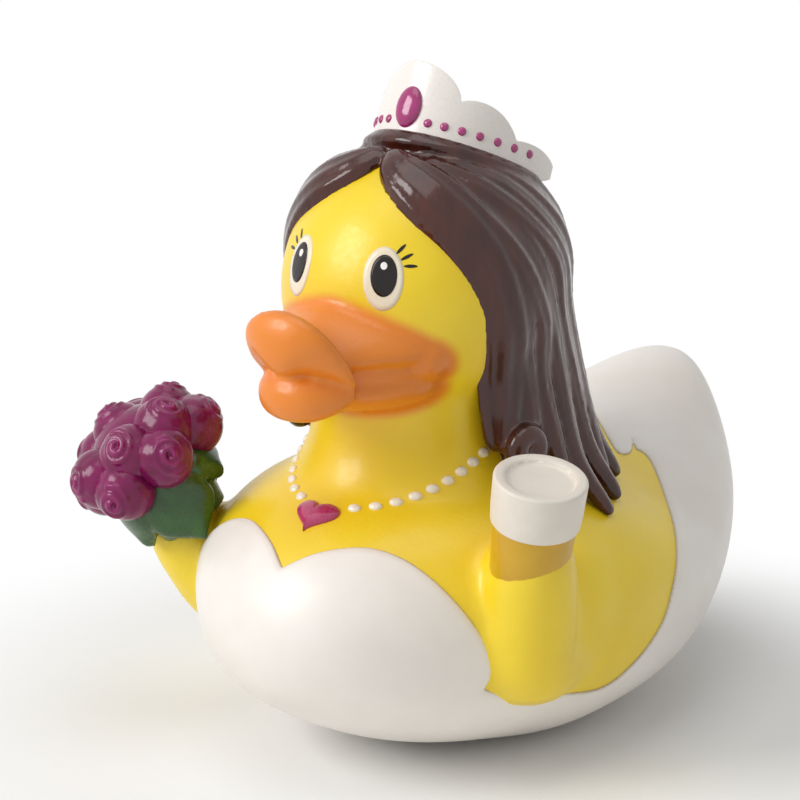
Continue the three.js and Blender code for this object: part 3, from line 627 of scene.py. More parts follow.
def flat_view(v):
    """Flattens the unit sphere on to a plane, with the duck's back in the middle and its keel far out."""
    depth = max(1 + v.y, 1e-3)
    return (abs(v.x) / depth, v.z / depth)


def outline_on_sphere():
    """The dress outline carried back from the trunk to the unit sphere that the trunk is drawn from."""
    ball = unit_sphere("guide", 96, 80)
    corners = [vertex.co.copy() for vertex in ball.data.vertices]
    reshape(ball, trunk_move())
    tree = tree_of(ball)
    points = []
    for point in dress_outline():
        nearest, _, face, _ = tree.find_nearest(point)
        ring = ball.data.polygons[face].vertices
        shares = poly_3d_calc([ball.data.vertices[i].co for i in ring], nearest)
        unit = sum((corners[i] * share for i, share in zip(ring, shares)), Vector())
        points.append(flat_view(unit.normalized()))
    bpy.data.objects.remove(ball)
    return points


def distance_inside(outline):
    """Returns the measure of how far a point of the unit sphere is inside the opening of the dress.
    It is negative on the cloth."""
    start = np.array(outline[:-1])
    run = np.array(outline[1:]) - start
    run[run == 0] = 1e-9
    length = (run**2).sum(axis=1)

    def level(v):
        if v.y < CLOTH_UP_TO:
            return -1.0
        point = np.array(flat_view(v))
        gap = point - start
        share = np.clip((gap * run).sum(axis=1) / length, 0, 1)
        nearest = math.sqrt(((gap - run * share[:, None])**2).sum(axis=1).min())
        beside = (start[:, 1] > point[1]) != (start[:, 1] + run[:, 1] > point[1])
        crossed = beside & (gap[:, 0] < gap[:, 1] * run[:, 0] / run[:, 1])
        return nearest * (1 if crossed.sum() % 2 else -1)
    return level


def cut_along(piece, level):
    """Splits the mesh where level() changes sign and deletes the part above zero.
    Returns the points of the cut."""
    mesh = bmesh.new()
    mesh.from_mesh(piece.data)
    value = {vertex: level(vertex.co) for vertex in mesh.verts}
    for edge in list(mesh.edges):
        first, second = edge.verts
        if value[first] * value[second] < 0:
            share = value[first] / (value[first] - value[second])
            _, new = bmesh.utils.edge_split(edge, first, share)
            new.co.normalize()
            value[new] = 0.0
    on_line = [vertex for vertex in mesh.verts if value[vertex] == 0]
    bmesh.ops.connect_verts(mesh, verts=on_line)
    opening = [face for face in mesh.faces if sum(value[vertex] for vertex in face.verts) > 0]
    bmesh.ops.delete(mesh, geom=opening, context="FACES")
    edge_points = [vertex.co.copy() for vertex in mesh.verts if vertex.is_boundary]
    mesh.to_mesh(piece.data)
    mesh.free()
    return edge_points


def refine(piece, level, reach):
    """Gives the unit sphere finer faces where level() is this near to zero."""
    corners = piece.data.vertices
    for part in (*corners, *piece.data.edges, *piece.data.polygons):
        part.select = False
    for edge in piece.data.edges:
        first, second = edge.vertices
        middle = (corners[first].co + corners[second].co) / 2
        edge.select = middle.y > HEM_UP_TO and abs(level(middle)) < reach
    pick(piece)
    bpy.ops.object.mode_set(mode="EDIT")
    bpy.ops.mesh.subdivide(number_cuts=1)
    bpy.ops.object.mode_set(mode="OBJECT")
    reshape(piece, lambda v: v.normalized())


def dress():
    """The white shell over the trunk, raised above the skin with a soft edge."""
    level = distance_inside(outline_on_sphere())
    ball = unit_sphere("dress", 144, 120)
    for reach in HEM_BANDS:
        refine(ball, level, reach)
    edge_points = cut_along(ball, level)
    flush = trunk_move()
    seam = KDTree(len(edge_points))
    for index, point in enumerate(edge_points):
        seam.insert(flush(point), index)
    seam.balance()

    def raised(v):
        distance = seam.find(flush(v))[2]
        share = min(distance / DRESS_EDGE, 1)
        return DRESS_RISE * math.sqrt(1 - (1 - share)**2) - DRESS_TUCK * (1 - share)

    reshape(ball, trunk_move(raised))
    edit(ball, (bpy.ops.mesh.normals_make_consistent, {"inside": False}))
    cut_off(ball, (0, 0, 0), UP)
    finish(ball, "SOLIDIFY", thickness=DRESS_WALL, offset=-1)
    cut_off(ball, (0, 0, 0), UP)
    take_away(ball, squeaker_pocket())
    # Painted shade: a grey line that darkens the dress along its edge, where the step down to the skin lies
    # in shade
    painted_hem_shade = ball.data.attributes.new("painted_hem_shade", "FLOAT", "POINT")
    for vertex, value in zip(ball.data.vertices, painted_hem_shade.data):
        value.value = max(0, 1 - seam.find(vertex.co)[2] / HEM_SHADE_WIDTH)
    return ball


# Painted patches that follow the skin

def patch(name, tree, centre, radii, lean=0.0, lift=0.05, squareness=2.0):
    """An oval of paint on the skin around a point of the face, leaning by some degrees."""
    half_width, half_height = radii
    disc = primitive(
        bpy.ops.mesh.primitive_circle_add, name, vertices=48, radius=1, fill_type="TRIFAN")
    edit(disc, (bpy.ops.mesh.subdivide, {"number_cuts": 5}))
    nearest, normal, _, _ = tree.find_nearest(centre)
    side = UP.cross(normal).normalized()
    above = normal.cross(side)
    turn = math.radians(lean)
    power = 2 / squareness - 1

    def place(v):
        across = half_width * v.x * (abs(v.x) + 1e-9)**power
        high = half_height * v.y
        flat = Vector((across * math.cos(turn) + high * math.sin(turn),
                       high * math.cos(turn) - across * math.sin(turn)))
        point = nearest + side * flat.x + above * flat.y + normal * 2
        hit, hit_normal, _, _ = tree.ray_cast(point, -normal)
        return hit + hit_normal * lift

    reshape(disc, place)
    finish(disc, "SOLIDIFY", thickness=INK_THICKNESS, offset=-1)
    return face_outwards(disc)


def eye(tree, mirror):
    """Eye white, pupil, glint and three lashes on one side of the face."""
    centre = Vector((EYE.x * mirror, EYE.y, EYE.z))
    look = centre + Vector((0.1 * mirror, 0, 0.42))
    spark = centre + Vector((0.05 * mirror, 0, 1.8))
    white = patch("eye_white", tree, centre, EYE_RADII)
    pupil = patch("pupil", tree, look, PUPIL_RADII, lift=0.1)
    glint = patch("glint", tree, spark, GLINT_RADII, lift=0.15)
    lashes = []
    for across, above, lean in LASHES:
        middle = centre + Vector((across * mirror, across * 0.5, above))
        lashes.append(patch("lash", tree, middle, LASH_RADII, lean * mirror, squareness=1.6))
    return white, pupil, glint, join("lashes", lashes)


# Hair

def hair_point(angle, height):
    """A point of the hair's outer face. Angle 0 is the face and 180 the back of the head."""
    turn = math.radians(angle)
    backness = (1 - math.cos(turn)) / 2
    above = max(0, height - HAIR.z) / HAIR_RADII.z
    below = max(0, HAIR.z - height)
    dome = math.sqrt(max(0, 1 - above * above))
    waist = -HAIR_WAIST * math.sin(min(1, below / WAIST_SPAN) * math.pi) * (1 - backness)
    flare = HAIR_FLARE * max(0, below - FLARE_START) * backness
    radius = dome / math.hypot(math.sin(turn) / HAIR_RADII.x, math.cos(turn) / HAIR_RADII.y) + waist + flare
    return Vector((math.sin(turn) * radius, HAIR.y - math.cos(turn) * radius, height))


def strand(name, tree, stations, half_width, thickness, sunk, least, parted=False):
    """A lock of hair along (angle, height) stations, with fine ribs that run along it. Its middle is sunk
    this far into the hair's outer face, and above the shoulders it keeps at least this far from the skin."""
    points = []
    for angle, height in stations:
        point = hair_point(angle, height)
        axis = Vector((0, HAIR.y, min(height, HAIR.z)))
        deep = min(max((PARTING_HEIGHT - height) / PARTING_EASE, 0.35), 1) if parted else 1
        lift = HAIR_CLEARANCE + (least - HAIR_CLEARANCE) * (deep if height > SHOULDER_TOP else 0)
        points.append(seated(tree, point.lerp(axis, deep * sunk / (point - axis).length), lift))
    path = spline(points)

    def side(t):
        here = path(t)
        outward = here - Vector((0, HAIR.y, min(here.z, HAIR.z)))
        return tangent(path, t).cross(outward)

    return drawn_form(
        name, 40, 48,
        path=path,
        side=side,
        width=profile(half_width * 0.6, half_width, half_width, half_width, half_width * 0.75),
        rise=lambda t: thickness,
        fullness=0.5,
        ribs=LOCK_RIBS,
        rib_depth=LOCK_RIB_DEPTH,
    )


def hair_core():
    """What lies under the locks: a cap with an open face and a curtain round the sides and the back."""
    cap = ellipsoid("cap", HAIR, HAIR_RADII - Vector((2, 2, 1.6)), 64, 48)
    slope = math.atan2(8, 28)
    cut_off(cap, (0, -15, 84), (0, math.cos(slope), 0.9 - math.sin(slope)))
    top = HAIR.z + CURTAIN_OVERLAP

    def place(v):
        height = CURTAIN_BOTTOM + (top - CURTAIN_BOTTOM) * (v.z + 1) / 2
        angle = math.degrees(math.atan2(v.x, -v.y))
        covered = min(max((abs(angle) - CURTAIN_START) / CURTAIN_EASE, 0), 1)
        axis = Vector((0, HAIR.y, height))
        spoke = hair_point(angle, height) - axis
        radius = CURTAIN_CORE + (spoke.length - CURTAIN_DEPTH - CURTAIN_CORE) * covered
        return axis + spoke.normalized() * radius * math.hypot(v.x, v.y)**0.3

    return [cap, face_outwards(reshape(unit_sphere("curtain", 96, 32), place))]


def curl(tree, mirror):
    """The rolled end of the front lock: a ring of hair that lies over the shoulder."""
    ring = primitive(
        bpy.ops.mesh.primitive_torus_add, "curl",
        major_radius=CURL_RADIUS, minor_radius=CURL_THICKNESS, major_segments=40, minor_segments=16)
    angle, height = CURL_PLACE
    centre = seated(tree, hair_point(mirror * angle, height), HAIR_CLEARANCE)
    outward = (centre - Vector((0, HAIR.y, centre.z))).normalized()
    return stand_on(ring, centre - outward * CURL_RADIUS / 2, outward)


def lock(tree, mirror, place, tip):
    """A lock that sweeps back from the parting, sways a little and falls to its tip. The locks at the back
    make their turn sooner and lie higher on the crown, and every other one is thicker."""
    share = place / (len(LOCK_TIPS) - 1)
    first, last = LOCK_SPREAD
    end_angle = first + (last - first) * share
    stations = []
    for turned, above in LOCK_FALL:
        sway = 1.2 * math.sin(0.35 * above + 2.1 * place)
        crown = 1.6 * share if above > 15 else 0
        stations.append((mirror * (end_angle * turned**(1 - share) + sway), HAIR.z + above + crown))
    low = LOCK_FALL[-1][1]
    tip_angle = end_angle + 2 * math.sin(3 * place)
    for step in (0.5, 1.0):
        stations.append((mirror * tip_angle, HAIR.z + low + (tip - low) * step))
    thickness = 2.3 if place % 2 else 1.9
    return strand("lock", tree, stations, LOCK_HALF_WIDTH, thickness, thickness + 0.5, least=-1)


def hair(tree):
    """Locks that part over the forehead, sweep back round the head and fall over the shoulders."""
    parts = hair_core()
    for mirror in (1, -1):
        stations = [(mirror * angle, HAIR.z + above) for angle, above in FORELOCK]
        parts.append(strand("forelock", tree, stations, 4.8, 2.5, 2.7, least=-1.3, parted=True))
        parts.append(curl(tree, mirror))
        parts += [lock(tree, mirror, place, tip) for place, tip in enumerate(LOCK_TIPS)]
    return fuse(join("hair", [*parts, tiara_roll()]), HAIR_VOXEL, 2)


def tiara_roll():
    """The roll of hair that the tiara stands on."""
    foot = [tiara_point(angle, -1.5, 0.4) for angle in range(-90, 91, 15)]
    return drawn_form(
        "roll", 24, 64,
        path=spline(foot),
        side=lambda t: UP,
        width=lambda t: 1.5,
        rise=lambda t: 1.7,
        fullness=0.4,
        ribs=5,
        rib_depth=0.08,
    )


# Tiara

def tiara_height(angle):
    """Height of the tiara's top edge at an angle from its middle: a tall lobe, then two falling ones."""
    place = abs(angle)
    for start, end, crest, low, last in TIARA_LOBES:
        if place <= end:
            break
    share = min((place - start) / (end - start), 1)
    base = low + (last - low) * share**3
    return base + (crest - low) * math.sqrt(max(0, math.sin(math.pi * share)))


def tiara_point(angle, height, out=0.0):
    """A point of the tilted ellipse that the tiara is bent round, this far up and out from its middle."""
    turn = math.radians(angle)
    across = math.sin(turn) * (TIARA_HALF_WIDTH + out)
    flat = Vector((across, -math.cos(turn) * (TIARA_HALF_DEPTH + out), height))
    seat = Vector((0, HAIR.y + TIARA_SET_BACK, HAIR.z + HAIR_RADII.z - TIARA_SUNK))
    return Matrix.Rotation(math.radians(-TIARA_TILT), 3, "X") @ flat + seat


def tiara():
    strip = primitive(
        bpy.ops.mesh.primitive_grid_add, "tiara", x_subdivisions=150, y_subdivisions=14, size=2)

    def place(v):
        angle = v.x * TIARA_SPAN
        top = tiara_height(angle)
        past_end = max(0, (abs(angle) - TIARA_END) / (TIARA_SPAN - TIARA_END))
        foot = TIARA_END_RISE * past_end**2 - TIARA_FOOT
        return tiara_point(angle, foot + (top - foot) * (v.y + 1) / 2)

    reshape(strip, place)
    finish(strip, "SOLIDIFY", thickness=TIARA_THICKNESS, offset=0)
    face_outwards(strip)
    finish(strip, "BEVEL", width=0.6, segments=3, limit_method="ANGLE", angle_limit=math.radians(50))
    return strip


def tiara_jewel():
    ball = ellipsoid("tiara_jewel", (0, 0, 0), JEWEL_RADII, 48, 32)
    seat = tiara_point(0, JEWEL_HEIGHT, TIARA_THICKNESS / 2)
    lean = Matrix.Rotation(math.radians(-TIARA_TILT), 3, "X")
    return reshape(ball, lambda v: lean @ v + seat)


def tiara_beads():
    beads = []
    for mirror in (1, -1):
        for place in range(BEADS_PER_SIDE):
            angle = mirror * (BEAD_START + BEAD_SPACING * place)
            centre = tiara_point(angle, BEAD_HEIGHT, TIARA_THICKNESS / 2)
            outward = tiara_point(angle, BEAD_HEIGHT, 2) - tiara_point(angle, BEAD_HEIGHT, 1)
            bead = ellipsoid("bead", (0, 0, 0), BEAD_RADII, 20, 12)
            beads.append(stand_on(bead, centre, outward.normalized()))
    return join("tiara_beads", beads)


# Necklace

def necklace(tree):
    """Long pearls laid end to end on the skin, from the breast up round the neck on either side."""
    pearls = []
    for mirror in (1, -1):
        for place in range(PEARLS_PER_SIDE):
            turn = math.radians(PEARL_START + PEARL_SPACING * place) * mirror
            climb = 1 - math.cos(turn * NECKLACE_CURVE)
            height = NECKLACE_DROP + (NECKLACE_RISE - NECKLACE_DROP) * climb
            outward = Vector((math.sin(turn), -math.cos(turn), 0))
            start = Vector((0, HEAD.y, height)) + outward * OUTSIDE
            hit, normal, _, _ = tree.ray_cast(start, -outward)
            along = UP.cross(normal).normalized()
            turned = Matrix((along, normal.cross(along), normal)).transposed()
            pearl = ellipsoid("pearl", (0, 0, 0), PEARL_RADII, 24, 16)
            pearls.append(reshape(pearl, lambda v: turned @ v + hit))
    return join("pearls", pearls)


def pendant(tree):
    """A puffed heart that lies on the breast."""
    hit, normal, _, _ = tree.ray_cast(Vector((0, -OUTSIDE, PENDANT_HEIGHT)), Vector((0, 1, 0)))
    along = UP.cross(normal).normalized()
    above = normal.cross(along)
    scale = PENDANT_SIZE / HEART_WIDTH

    def place(v):
        ring = math.hypot(v.x, v.y)
        turn = math.atan2(v.x, v.y)
        across = HEART_WIDTH / 2 * math.sin(turn)**3
        high = 13 * math.cos(turn) - 5 * math.cos(2 * turn) - 2 * math.cos(3 * turn) - math.cos(4 * turn)
        high *= PENDANT_SQUASH
        depth = 1.2 * v.z**0.8 if v.z > 0 else 0.8 * v.z
        point = hit + along * across * ring * scale + above * (high * ring + 1) * scale + normal * 5
        seat, _, _, _ = tree.ray_cast(point, -normal)
        return seat + normal * depth

    return face_outwards(reshape(unit_sphere("pendant", 96, 48), place))


# Glass and bouquet

def glass():
    """The ochre part of the glass, from the foam down into the hand."""
    top = GLASS_HEIGHT - FOAM_HEIGHT + 0.3
    slope = (GLASS_RIM - GLASS_FOOT) / GLASS_HEIGHT
    piece = lathe("glass", [(0, 0), (GLASS_FOOT, 0), (GLASS_FOOT + slope * top, top), (0, top)], 96)
    finish(piece, "BEVEL", width=0.3, segments=3)
    return stand_on(piece, GLASS_TOP - GLASS_AXIS * GLASS_HEIGHT, GLASS_AXIS)


def foam():
    """The head of foam: a thick rim round a recessed disc."""
    low = GLASS_HEIGHT - FOAM_HEIGHT
    wide = GLASS_RIM + FOAM_STEP
    dip = GLASS_HEIGHT - FOAM_RECESS
    pairs = [(0, low), (wide - 0.35, low), (wide - 0.15, low + 2.5), (wide, GLASS_HEIGHT),
             (FOAM_RIM, GLASS_HEIGHT), (FOAM_RIM - 0.5, dip), (0, dip)]
    piece = lathe("foam", pairs, 96)
    finish(piece, "BEVEL", width=0.45, segments=4, limit_method="ANGLE", angle_limit=math.radians(25))
    return stand_on(piece, GLASS_TOP - GLASS_AXIS * GLASS_HEIGHT, GLASS_AXIS)


def rose():
    """A rosebud that stands up: three wrapped petals and a rolled heart."""
    r = ROSE_RADIUS
    petals = []
    for place in range(3):
        turn = math.tau * place / 3
        out = Vector((math.cos(turn), math.sin(turn), 0)) * 0.13 * r
        petals.append(ellipsoid("petal", out, (0.88 * r, 0.88 * r, 0.95 * r), 32, 24))
    turns, steps = 2.1, 60
    roll = bpy.data.curves.new("roll", "CURVE")
    roll.dimensions = "3D"
    roll.bevel_depth = 0.1 * r
    roll.use_fill_caps = True
    line = roll.splines.new("POLY")
    line.points.add(steps)
    for step in range(steps + 1):
        share = step / steps
        out = (0.08 + 0.52 * share) * r
        turn = math.tau * turns * share
        high = math.sqrt(0.95**2 - (out / r)**2 * 0.9) * r + 0.06 * r * (1 - share)
        line.points[step].co = (out * math.cos(turn), 0.85 * out * math.sin(turn), high, 1)
    heart = bpy.data.objects.new("roll", roll)
    bpy.context.collection.objects.link(heart)
    pick(heart)
    bpy.ops.object.convert(target="MESH")
    bud = fuse(join("rose", [*petals, heart]), ROSE_VOXEL, 1)
    # Painted highlight: how far out on the bud each point lies, so that its outer crests turn paler than the
    # folds
    crest = bud.data.attributes.new("crest", "FLOAT", "POINT")
    for vertex, value in zip(bud.data.vertices, crest.data):
        value.value = max(0, vertex.co.length / r - CREST_HIGHLIGHT_START) / (CREST_HIGHLIGHT_END - CREST_HIGHLIGHT_START)
    return bud


def roses():
    """Copies of one rosebud that stand out of a flattened dome, each turned another way."""
    model = rose()
    buds = []
    for place, (polar, around) in enumerate(ROSES):
        bud = copy_of(model)
        tip, turn = math.radians(polar), math.radians(around)
        out = Vector((math.sin(tip) * math.cos(turn), math.sin(tip) * math.sin(turn), math.cos(tip)))
        bud.data.transform(Matrix.Rotation(1.7 * place, 4, "Z"))
        foot = Vector((out.x, out.y, out.z * BOUQUET_FLATTENING)) * BOUQUET_RADIUS
        buds.append(stand_on(bud, foot, out))
    bpy.data.objects.remove(model)
    core = ellipsoid("core", (0, 0, 0), (BOUQUET_RADIUS,) * 3, 32, 24)
    return stand_on(join("roses", [*buds, core]), BOUQUET, BOUQUET_AXIS)


def leaves():
    """A collar of pointed leaves that closes round the stems above the hand."""
    collar = []
    for place, reach in enumerate(LEAF_TIPS):
        turn = math.radians(LEAF_START + 360 * place / len(LEAF_TIPS))
        outward = Vector((math.cos(turn), math.sin(turn), 0))
        across = Vector((-math.sin(turn), math.cos(turn), 0))
        points = [outward * out - UP * reach * share for share, out in LEAF_RUN]
        collar.append(drawn_form(
            "leaf", 32, 32,
            path=spline(points),
            side=lambda t, across=across: across,
            width=profile(4.4, 5.2, 4.6, 0.5),
            rise=lambda t: 0.7,
            drop=lambda t: 2.4,
            fullness=0.7,
        ))
    stems = lathe("stems", [(0, -11), (5.2, -11), (5.8, -8), (6.4, -2), (0, 0)])
    piece = fuse(join("leaves", [*collar, stems]), LEAF_VOXEL, 2)
    return stand_on(piece, BOUQUET, BOUQUET_AXIS)


def place_in_frame(piece, material):
    """Turns millimetres into metres and ties the finished piece to the frame."""
    piece.data.transform(Matrix.Scale(MM, 4))
    piece.data.materials.clear()
    piece.data.materials.append(material)
    for face in piece.data.polygons:
        face.use_smooth = True
    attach(piece, "root")


# Materials

def linear(hex_colour):
    """An sRGB hex colour as linear values."""
    parts = [int(hex_colour[i:i + 2], 16) / 255 for i in (1, 3, 5)]
    return (*[c / 12.92 if c <= 0.04045 else ((c + 0.055) / 1.055)**2.4 for c in parts], 1)


def node(tree, kind, inputs=None, **settings):
    """Adds a node with its settings. An input is a value or another node's socket."""
    new = tree.nodes.new(kind)
    for name, value in settings.items():
        setattr(new, name, value)
    for name, value in (inputs or {}).items():
        if isinstance(value, bpy.types.NodeSocket):
            tree.links.new(value, new.inputs[name])
        else:
            new.inputs[name].default_value = value
    return new


def sprayed(name, dark, light, cloud, roughness, grain, relief, coat=0.0, shine=0.5,
            stretch=(1, 1, 1)):
    """Spray paint on moulded vinyl. The paint lies a little thicker and thinner in clouds of this many
    millimetres, and the mould's fine grain of this size and relief shows through it."""
    material = bpy.data.materials.new(name)
    material.use_nodes = True
    tree = material.node_tree
    shader = tree.nodes["Principled BSDF"]
    shader.inputs["IOR"].default_value = VINYL_IOR
    shader.inputs["Coat Weight"].default_value = coat
    shader.inputs["Coat Roughness"].default_value = COAT_ROUGHNESS
    shader.inputs["Specular IOR Level"].default_value = shine
    place = node(tree, "ShaderNodeTexCoord").outputs["Object"]
    along = node(tree, "ShaderNodeMapping", {"Vector": place, "Scale": stretch})
    clouds = node(tree, "ShaderNodeTexNoise", {
        "Vector": along.outputs[0], "Scale": 1 / (cloud * MM), "Detail": 3.0, "Roughness": 0.55})
    spread = node(tree, "ShaderNodeMapRange", {0: clouds.outputs["Fac"], 1: NOISE_LOW, 2: NOISE_HIGH})
    colour = node(tree, "ShaderNodeMix", {
        0: spread.outputs[0], 6: linear(dark), 7: linear(light)}, data_type="RGBA")
    pores = node(tree, "ShaderNodeTexNoise", {
        "Vector": along.outputs[0], "Scale": 1 / (grain * MM), "Detail": 2.0, "Roughness": 0.5})
    dull = node(tree, "ShaderNodeMapRange", {
        0: pores.outputs["Fac"], 1: NOISE_LOW, 2: NOISE_HIGH, 3: roughness - 0.05, 4: roughness + 0.07})
    bump = node(tree, "ShaderNodeBump", {
        "Height": pores.outputs["Fac"], "Strength": 0.6, "Distance": relief * MM})
    tree.links.new(colour.outputs[2], shader.inputs["Base Color"])
    tree.links.new(dull.outputs[0], shader.inputs["Roughness"])
    tree.links.new(bump.outputs[0], shader.inputs["Normal"])
    return material


def painted_over(material, attribute, hex_colour, low=0.0, high=1.0):
    """Lays a second colour over a paint where an attribute of the mesh says so."""
    tree = material.node_tree
    shader = tree.nodes["Principled BSDF"]
    under = shader.inputs["Base Color"].links[0].from_socket
    value = node(tree, "ShaderNodeAttribute", attribute_name=attribute)
    soft = node(tree, "ShaderNodeMapRange", {
        0: value.outputs["Fac"], 1: low, 2: high}, interpolation_type="SMOOTHSTEP")
    colour = node(tree, "ShaderNodeMix", {
        0: soft.outputs[0], 6: under, 7: linear(hex_colour)}, data_type="RGBA")
    tree.links.new(colour.outputs[2], shader.inputs["Base Color"])
    return material


# Stage, light and camera

def facing(place, back):
    """The place and turn of a camera or lamp that has its back to this direction."""
    return Matrix.Translation(place) @ back.to_track_quat("Z", "Y").to_matrix().to_4x4()


def camera():
    azimuth, elevation = math.radians(CAMERA_AZIMUTH), math.radians(CAMERA_ELEVATION)
    level = math.cos(elevation)
    back = Vector((math.sin(azimuth) * level, -math.cos(azimuth) * level, math.sin(elevation)))
    data = bpy.data.cameras.new("camera")
    data.lens = LENS
    data.sensor_width = 36
    data.clip_start = 0.01
    rig = bpy.data.objects.new("camera", data)
    rig.matrix_world = facing(CAMERA_TARGET * MM + back * (CAMERA_DISTANCE * MM), back)
    bpy.context.collection.objects.link(rig)
    bpy.context.scene.camera = rig


def lamp(name, place, size, watts):
    """A square lamp. Its place and size are in metres."""
    data = bpy.data.lights.new(name, "AREA")
    data.size = size
    data.energy = watts
    light = bpy.data.objects.new(name, data)
    light.matrix_world = facing(Vector(place), Vector(place) - LAMP_TARGET * MM)
    bpy.context.collection.objects.link(light)


def seen_directly(tree):
    """1 for rays from the camera and for those that metal or glass sends on, 0 for light."""
    path = node(tree, "ShaderNodeLightPath")
    seen = node(tree, "ShaderNodeMath", {
        0: path.outputs["Is Camera Ray"], 1: path.outputs["Is Glossy Ray"]}, operation="ADD")
    seen = node(tree, "ShaderNodeMath", {
        0: seen.outputs[0], 1: path.outputs["Is Transmission Ray"]}, operation="ADD", use_clamp=True)
    return seen.outputs[0]


def stage():
    """A pale floor that keeps the duck's shadow near it and fades into a white background."""
    floor = primitive(bpy.ops.mesh.primitive_circle_add, "floor", vertices=96, radius=3, fill_type="NGON")
    material = bpy.data.materials.new("matt_white_card")
    material.use_nodes = True
    tree = material.node_tree
    shader = tree.nodes["Principled BSDF"]
    shader.inputs["Base Color"].default_value = linear("#FDFDFC")
    shader.inputs["Roughness"].default_value = 0.95
    shader.inputs["Specular IOR Level"].default_value = 0.0
    glow = node(tree, "ShaderNodeEmission", {"Color": (1, 1, 1, 1), "Strength": 1.0})
    place = node(tree, "ShaderNodeTexCoord").outputs["Object"]
    away = node(tree, "ShaderNodeVectorMath", {0: place}, operation="LENGTH")
    far = node(tree, "ShaderNodeMapRange", {
        0: away.outputs["Value"], 1: FLOOR_SHADOW[0] * MM, 2: FLOOR_SHADOW[1] * MM},
        interpolation_type="SMOOTHSTEP")
    share = node(tree, "ShaderNodeMath", {0: far.outputs[0], 1: seen_directly(tree)}, operation="MULTIPLY")
    mix = node(tree, "ShaderNodeMixShader", {0: share.outputs[0], 1: shader.outputs[0], 2: glow.outputs[0]})
    tree.links.new(mix.outputs[0], tree.nodes["Material Output"].inputs["Surface"])
    floor.data.materials.append(material)


def world():
    """White behind the duck, and a softer white as the light that comes from all round."""
    scene = bpy.context.scene
    scene.world = bpy.data.worlds.new("studio")
    scene.world.use_nodes = True
    tree = scene.world.node_tree
    background = tree.nodes["Background"]
    background.inputs["Color"].default_value = (1, 1, 1, 1)
    strength = node(tree, "ShaderNodeMapRange", {0: seen_directly(tree), 3: AMBIENT, 4: 1.0})
    tree.links.new(strength.outputs[0], background.inputs["Strength"])
    scene.view_settings.view_transform = "Standard"


# Build

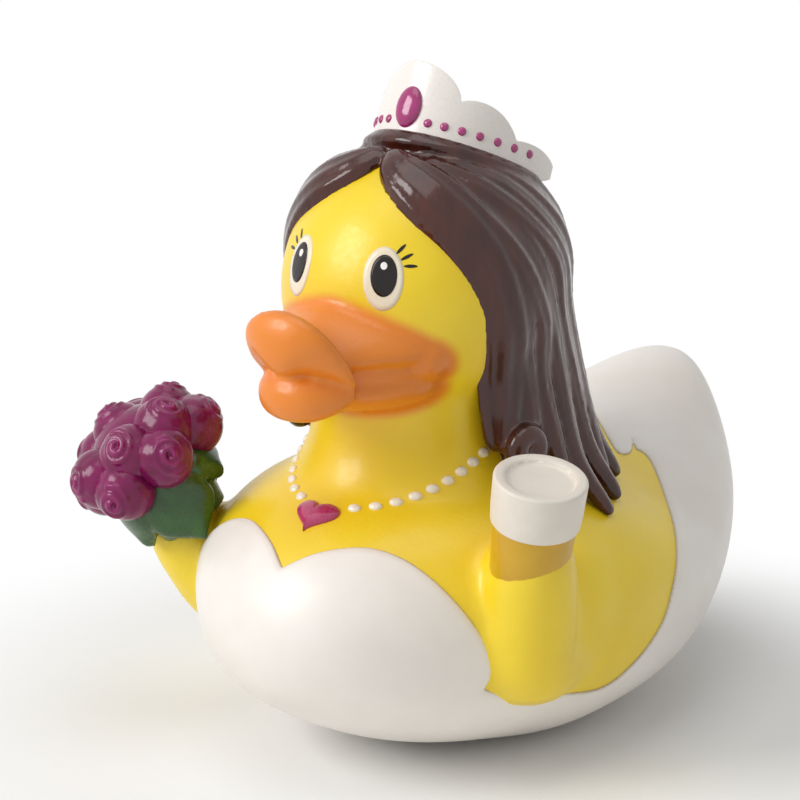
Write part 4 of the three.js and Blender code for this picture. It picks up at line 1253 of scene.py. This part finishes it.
def paints():
    """Every paint on the duck, by the name of what it is."""
    # Soft PVC, rotocast and then sprayed: satin, with a hardly visible cloudiness and pebble.
    yellow_vinyl = painted_over(sprayed(
        "sprayed_yellow_vinyl", "#F0CD18", "#F8D925", 16, 0.38, 0.7, 0.05, coat=0.12), "orange", "#E88420")
    # The dress is moulded in the same wall and masked: satin white, with painted shade as a grey line along
    # its hem.
    white_vinyl = painted_over(sprayed(
        "sprayed_white_vinyl", "#EBE4DB", "#F5F0E9", 18, 0.4, 0.8, 0.05, coat=0.08), "painted_hem_shade", "#B9A98F")
    # Hair enamel is dipped on thick and stays wet-looking, with faint lines along the locks.
    brown_enamel = sprayed(
        "gloss_brown_enamel", "#35120A", "#4E2014", 3.2, 0.17, 0.9, 0.1, coat=0.15, shine=0.4,
        stretch=(1, 1, 0.14))
    # Rose lacquer: deep magenta, with a painted highlight that turns the petals' outer crests paler than the
    # folds.
    rose_lacquer = painted_over(sprayed(
        "rose_lacquer", "#6A0A40", "#86165A", 3, 0.2, 0.8, 0.05, coat=0.1, shine=0.3),
        "crest", "#9A2A70", 0.85, 1.4)
    return {
        "skin": yellow_vinyl,
        "dress": white_vinyl,
        "hair": brown_enamel,
        "rose": rose_lacquer,
        # Leaf green is brushed on, so it is streaky and half glossy.
        "leaf": sprayed("brushed_green_enamel", "#1C4313", "#33631C", 5, 0.3, 0.7, 0.08, coat=0.15),
        # The tiara is the dress's white with more gloss from handling.
        "tiara": sprayed("white_gloss_enamel", "#ECE5DE", "#F3EDE7", 12, 0.28, 0.6, 0.04, coat=0.25),
        # Jewel enamel stands up in a drop, hard and shiny.
        "jewel": sprayed("magenta_gloss_enamel", "#95165F", "#AC2274", 2.5, 0.14, 0.5, 0.02, coat=0.4),
        # The pendant is a softer pink, pad printed and then lacquered.
        "heart": sprayed("pink_enamel", "#AD2B60", "#B83468", 5, 0.26, 0.5, 0.03, coat=0.4),
        # Pearl paint is cream with a slight shine.
        "pearl": sprayed("cream_pearl_paint", "#EFE5CF", "#FAF4E4", 2, 0.25, 0.4, 0.02, coat=0.3),
        # The drink is the skin's vinyl with a darker ochre sprayed over, uneven as a hand mask leaves it.
        "drink": sprayed("ochre_enamel", "#CA9B08", "#D5A710", 7, 0.33, 0.7, 0.04, coat=0.2),
        # Foam is thick satin paint with soft pits.
        "foam": sprayed("foam_white_paint", "#E4DBCE", "#ECE4D9", 6, 0.4, 0.9, 0.06),
        # Eyes are pad printed: cream, then black ink, then one white dot, all half glossy.
        "eye": sprayed("cream_eye_ink", "#EBDCBE", "#F4EAD3", 4, 0.3, 0.5, 0.02, coat=0.3),
        "pupil": sprayed("black_eye_ink", "#0B0705", "#1A120D", 3, 0.24, 0.5, 0.02, coat=0.1, shine=0.3),
        "glint": sprayed("white_eye_ink", "#F2EEE8", "#FBF9F5", 2, 0.3, 0.5, 0.02),
        # The squeaker is injection-moulded polyethylene in its milky natural colour.
        "squeaker": sprayed("natural_polyethylene", "#DCD9CF", "#E8E6DE", 4, 0.45, 0.5, 0.03),
    }


def build():
    paint = paints()
    body = skin()
    tree = tree_of(body)
    for mirror, side in ((1, "left"), (-1, "right")):
        for piece, ink in zip(eye(tree, mirror), ("eye", "pupil", "glint", "pupil")):
            piece.name = f"{piece.name.split('.')[0]}_{side}"
            place_in_frame(piece, paint[ink])
    place_in_frame(hair(tree), paint["hair"])
    place_in_frame(necklace(tree), paint["pearl"])
    place_in_frame(pendant(tree), paint["heart"])
    place_in_frame(dress(), paint["dress"])
    place_in_frame(tiara(), paint["tiara"])
    place_in_frame(tiara_jewel(), paint["jewel"])
    place_in_frame(tiara_beads(), paint["jewel"])
    place_in_frame(glass(), paint["drink"])
    place_in_frame(foam(), paint["foam"])
    place_in_frame(roses(), paint["rose"])
    place_in_frame(leaves(), paint["leaf"])
    place_in_frame(body, paint["skin"])
    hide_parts("duck_body")
    for name in ("squeaker_cup", "squeaker_reed"):
        squeaker_part = frame["nodes"][name]
        squeaker_part.data.materials.clear()
        squeaker_part.data.materials.append(paint["squeaker"])


build()
camera()
world()
lamp("key", (-0.42, -0.72, 0.55), 0.5, 5.4)
lamp("overhead", (0.0, -0.15, 1.0), 0.7, 2.2)
stage()
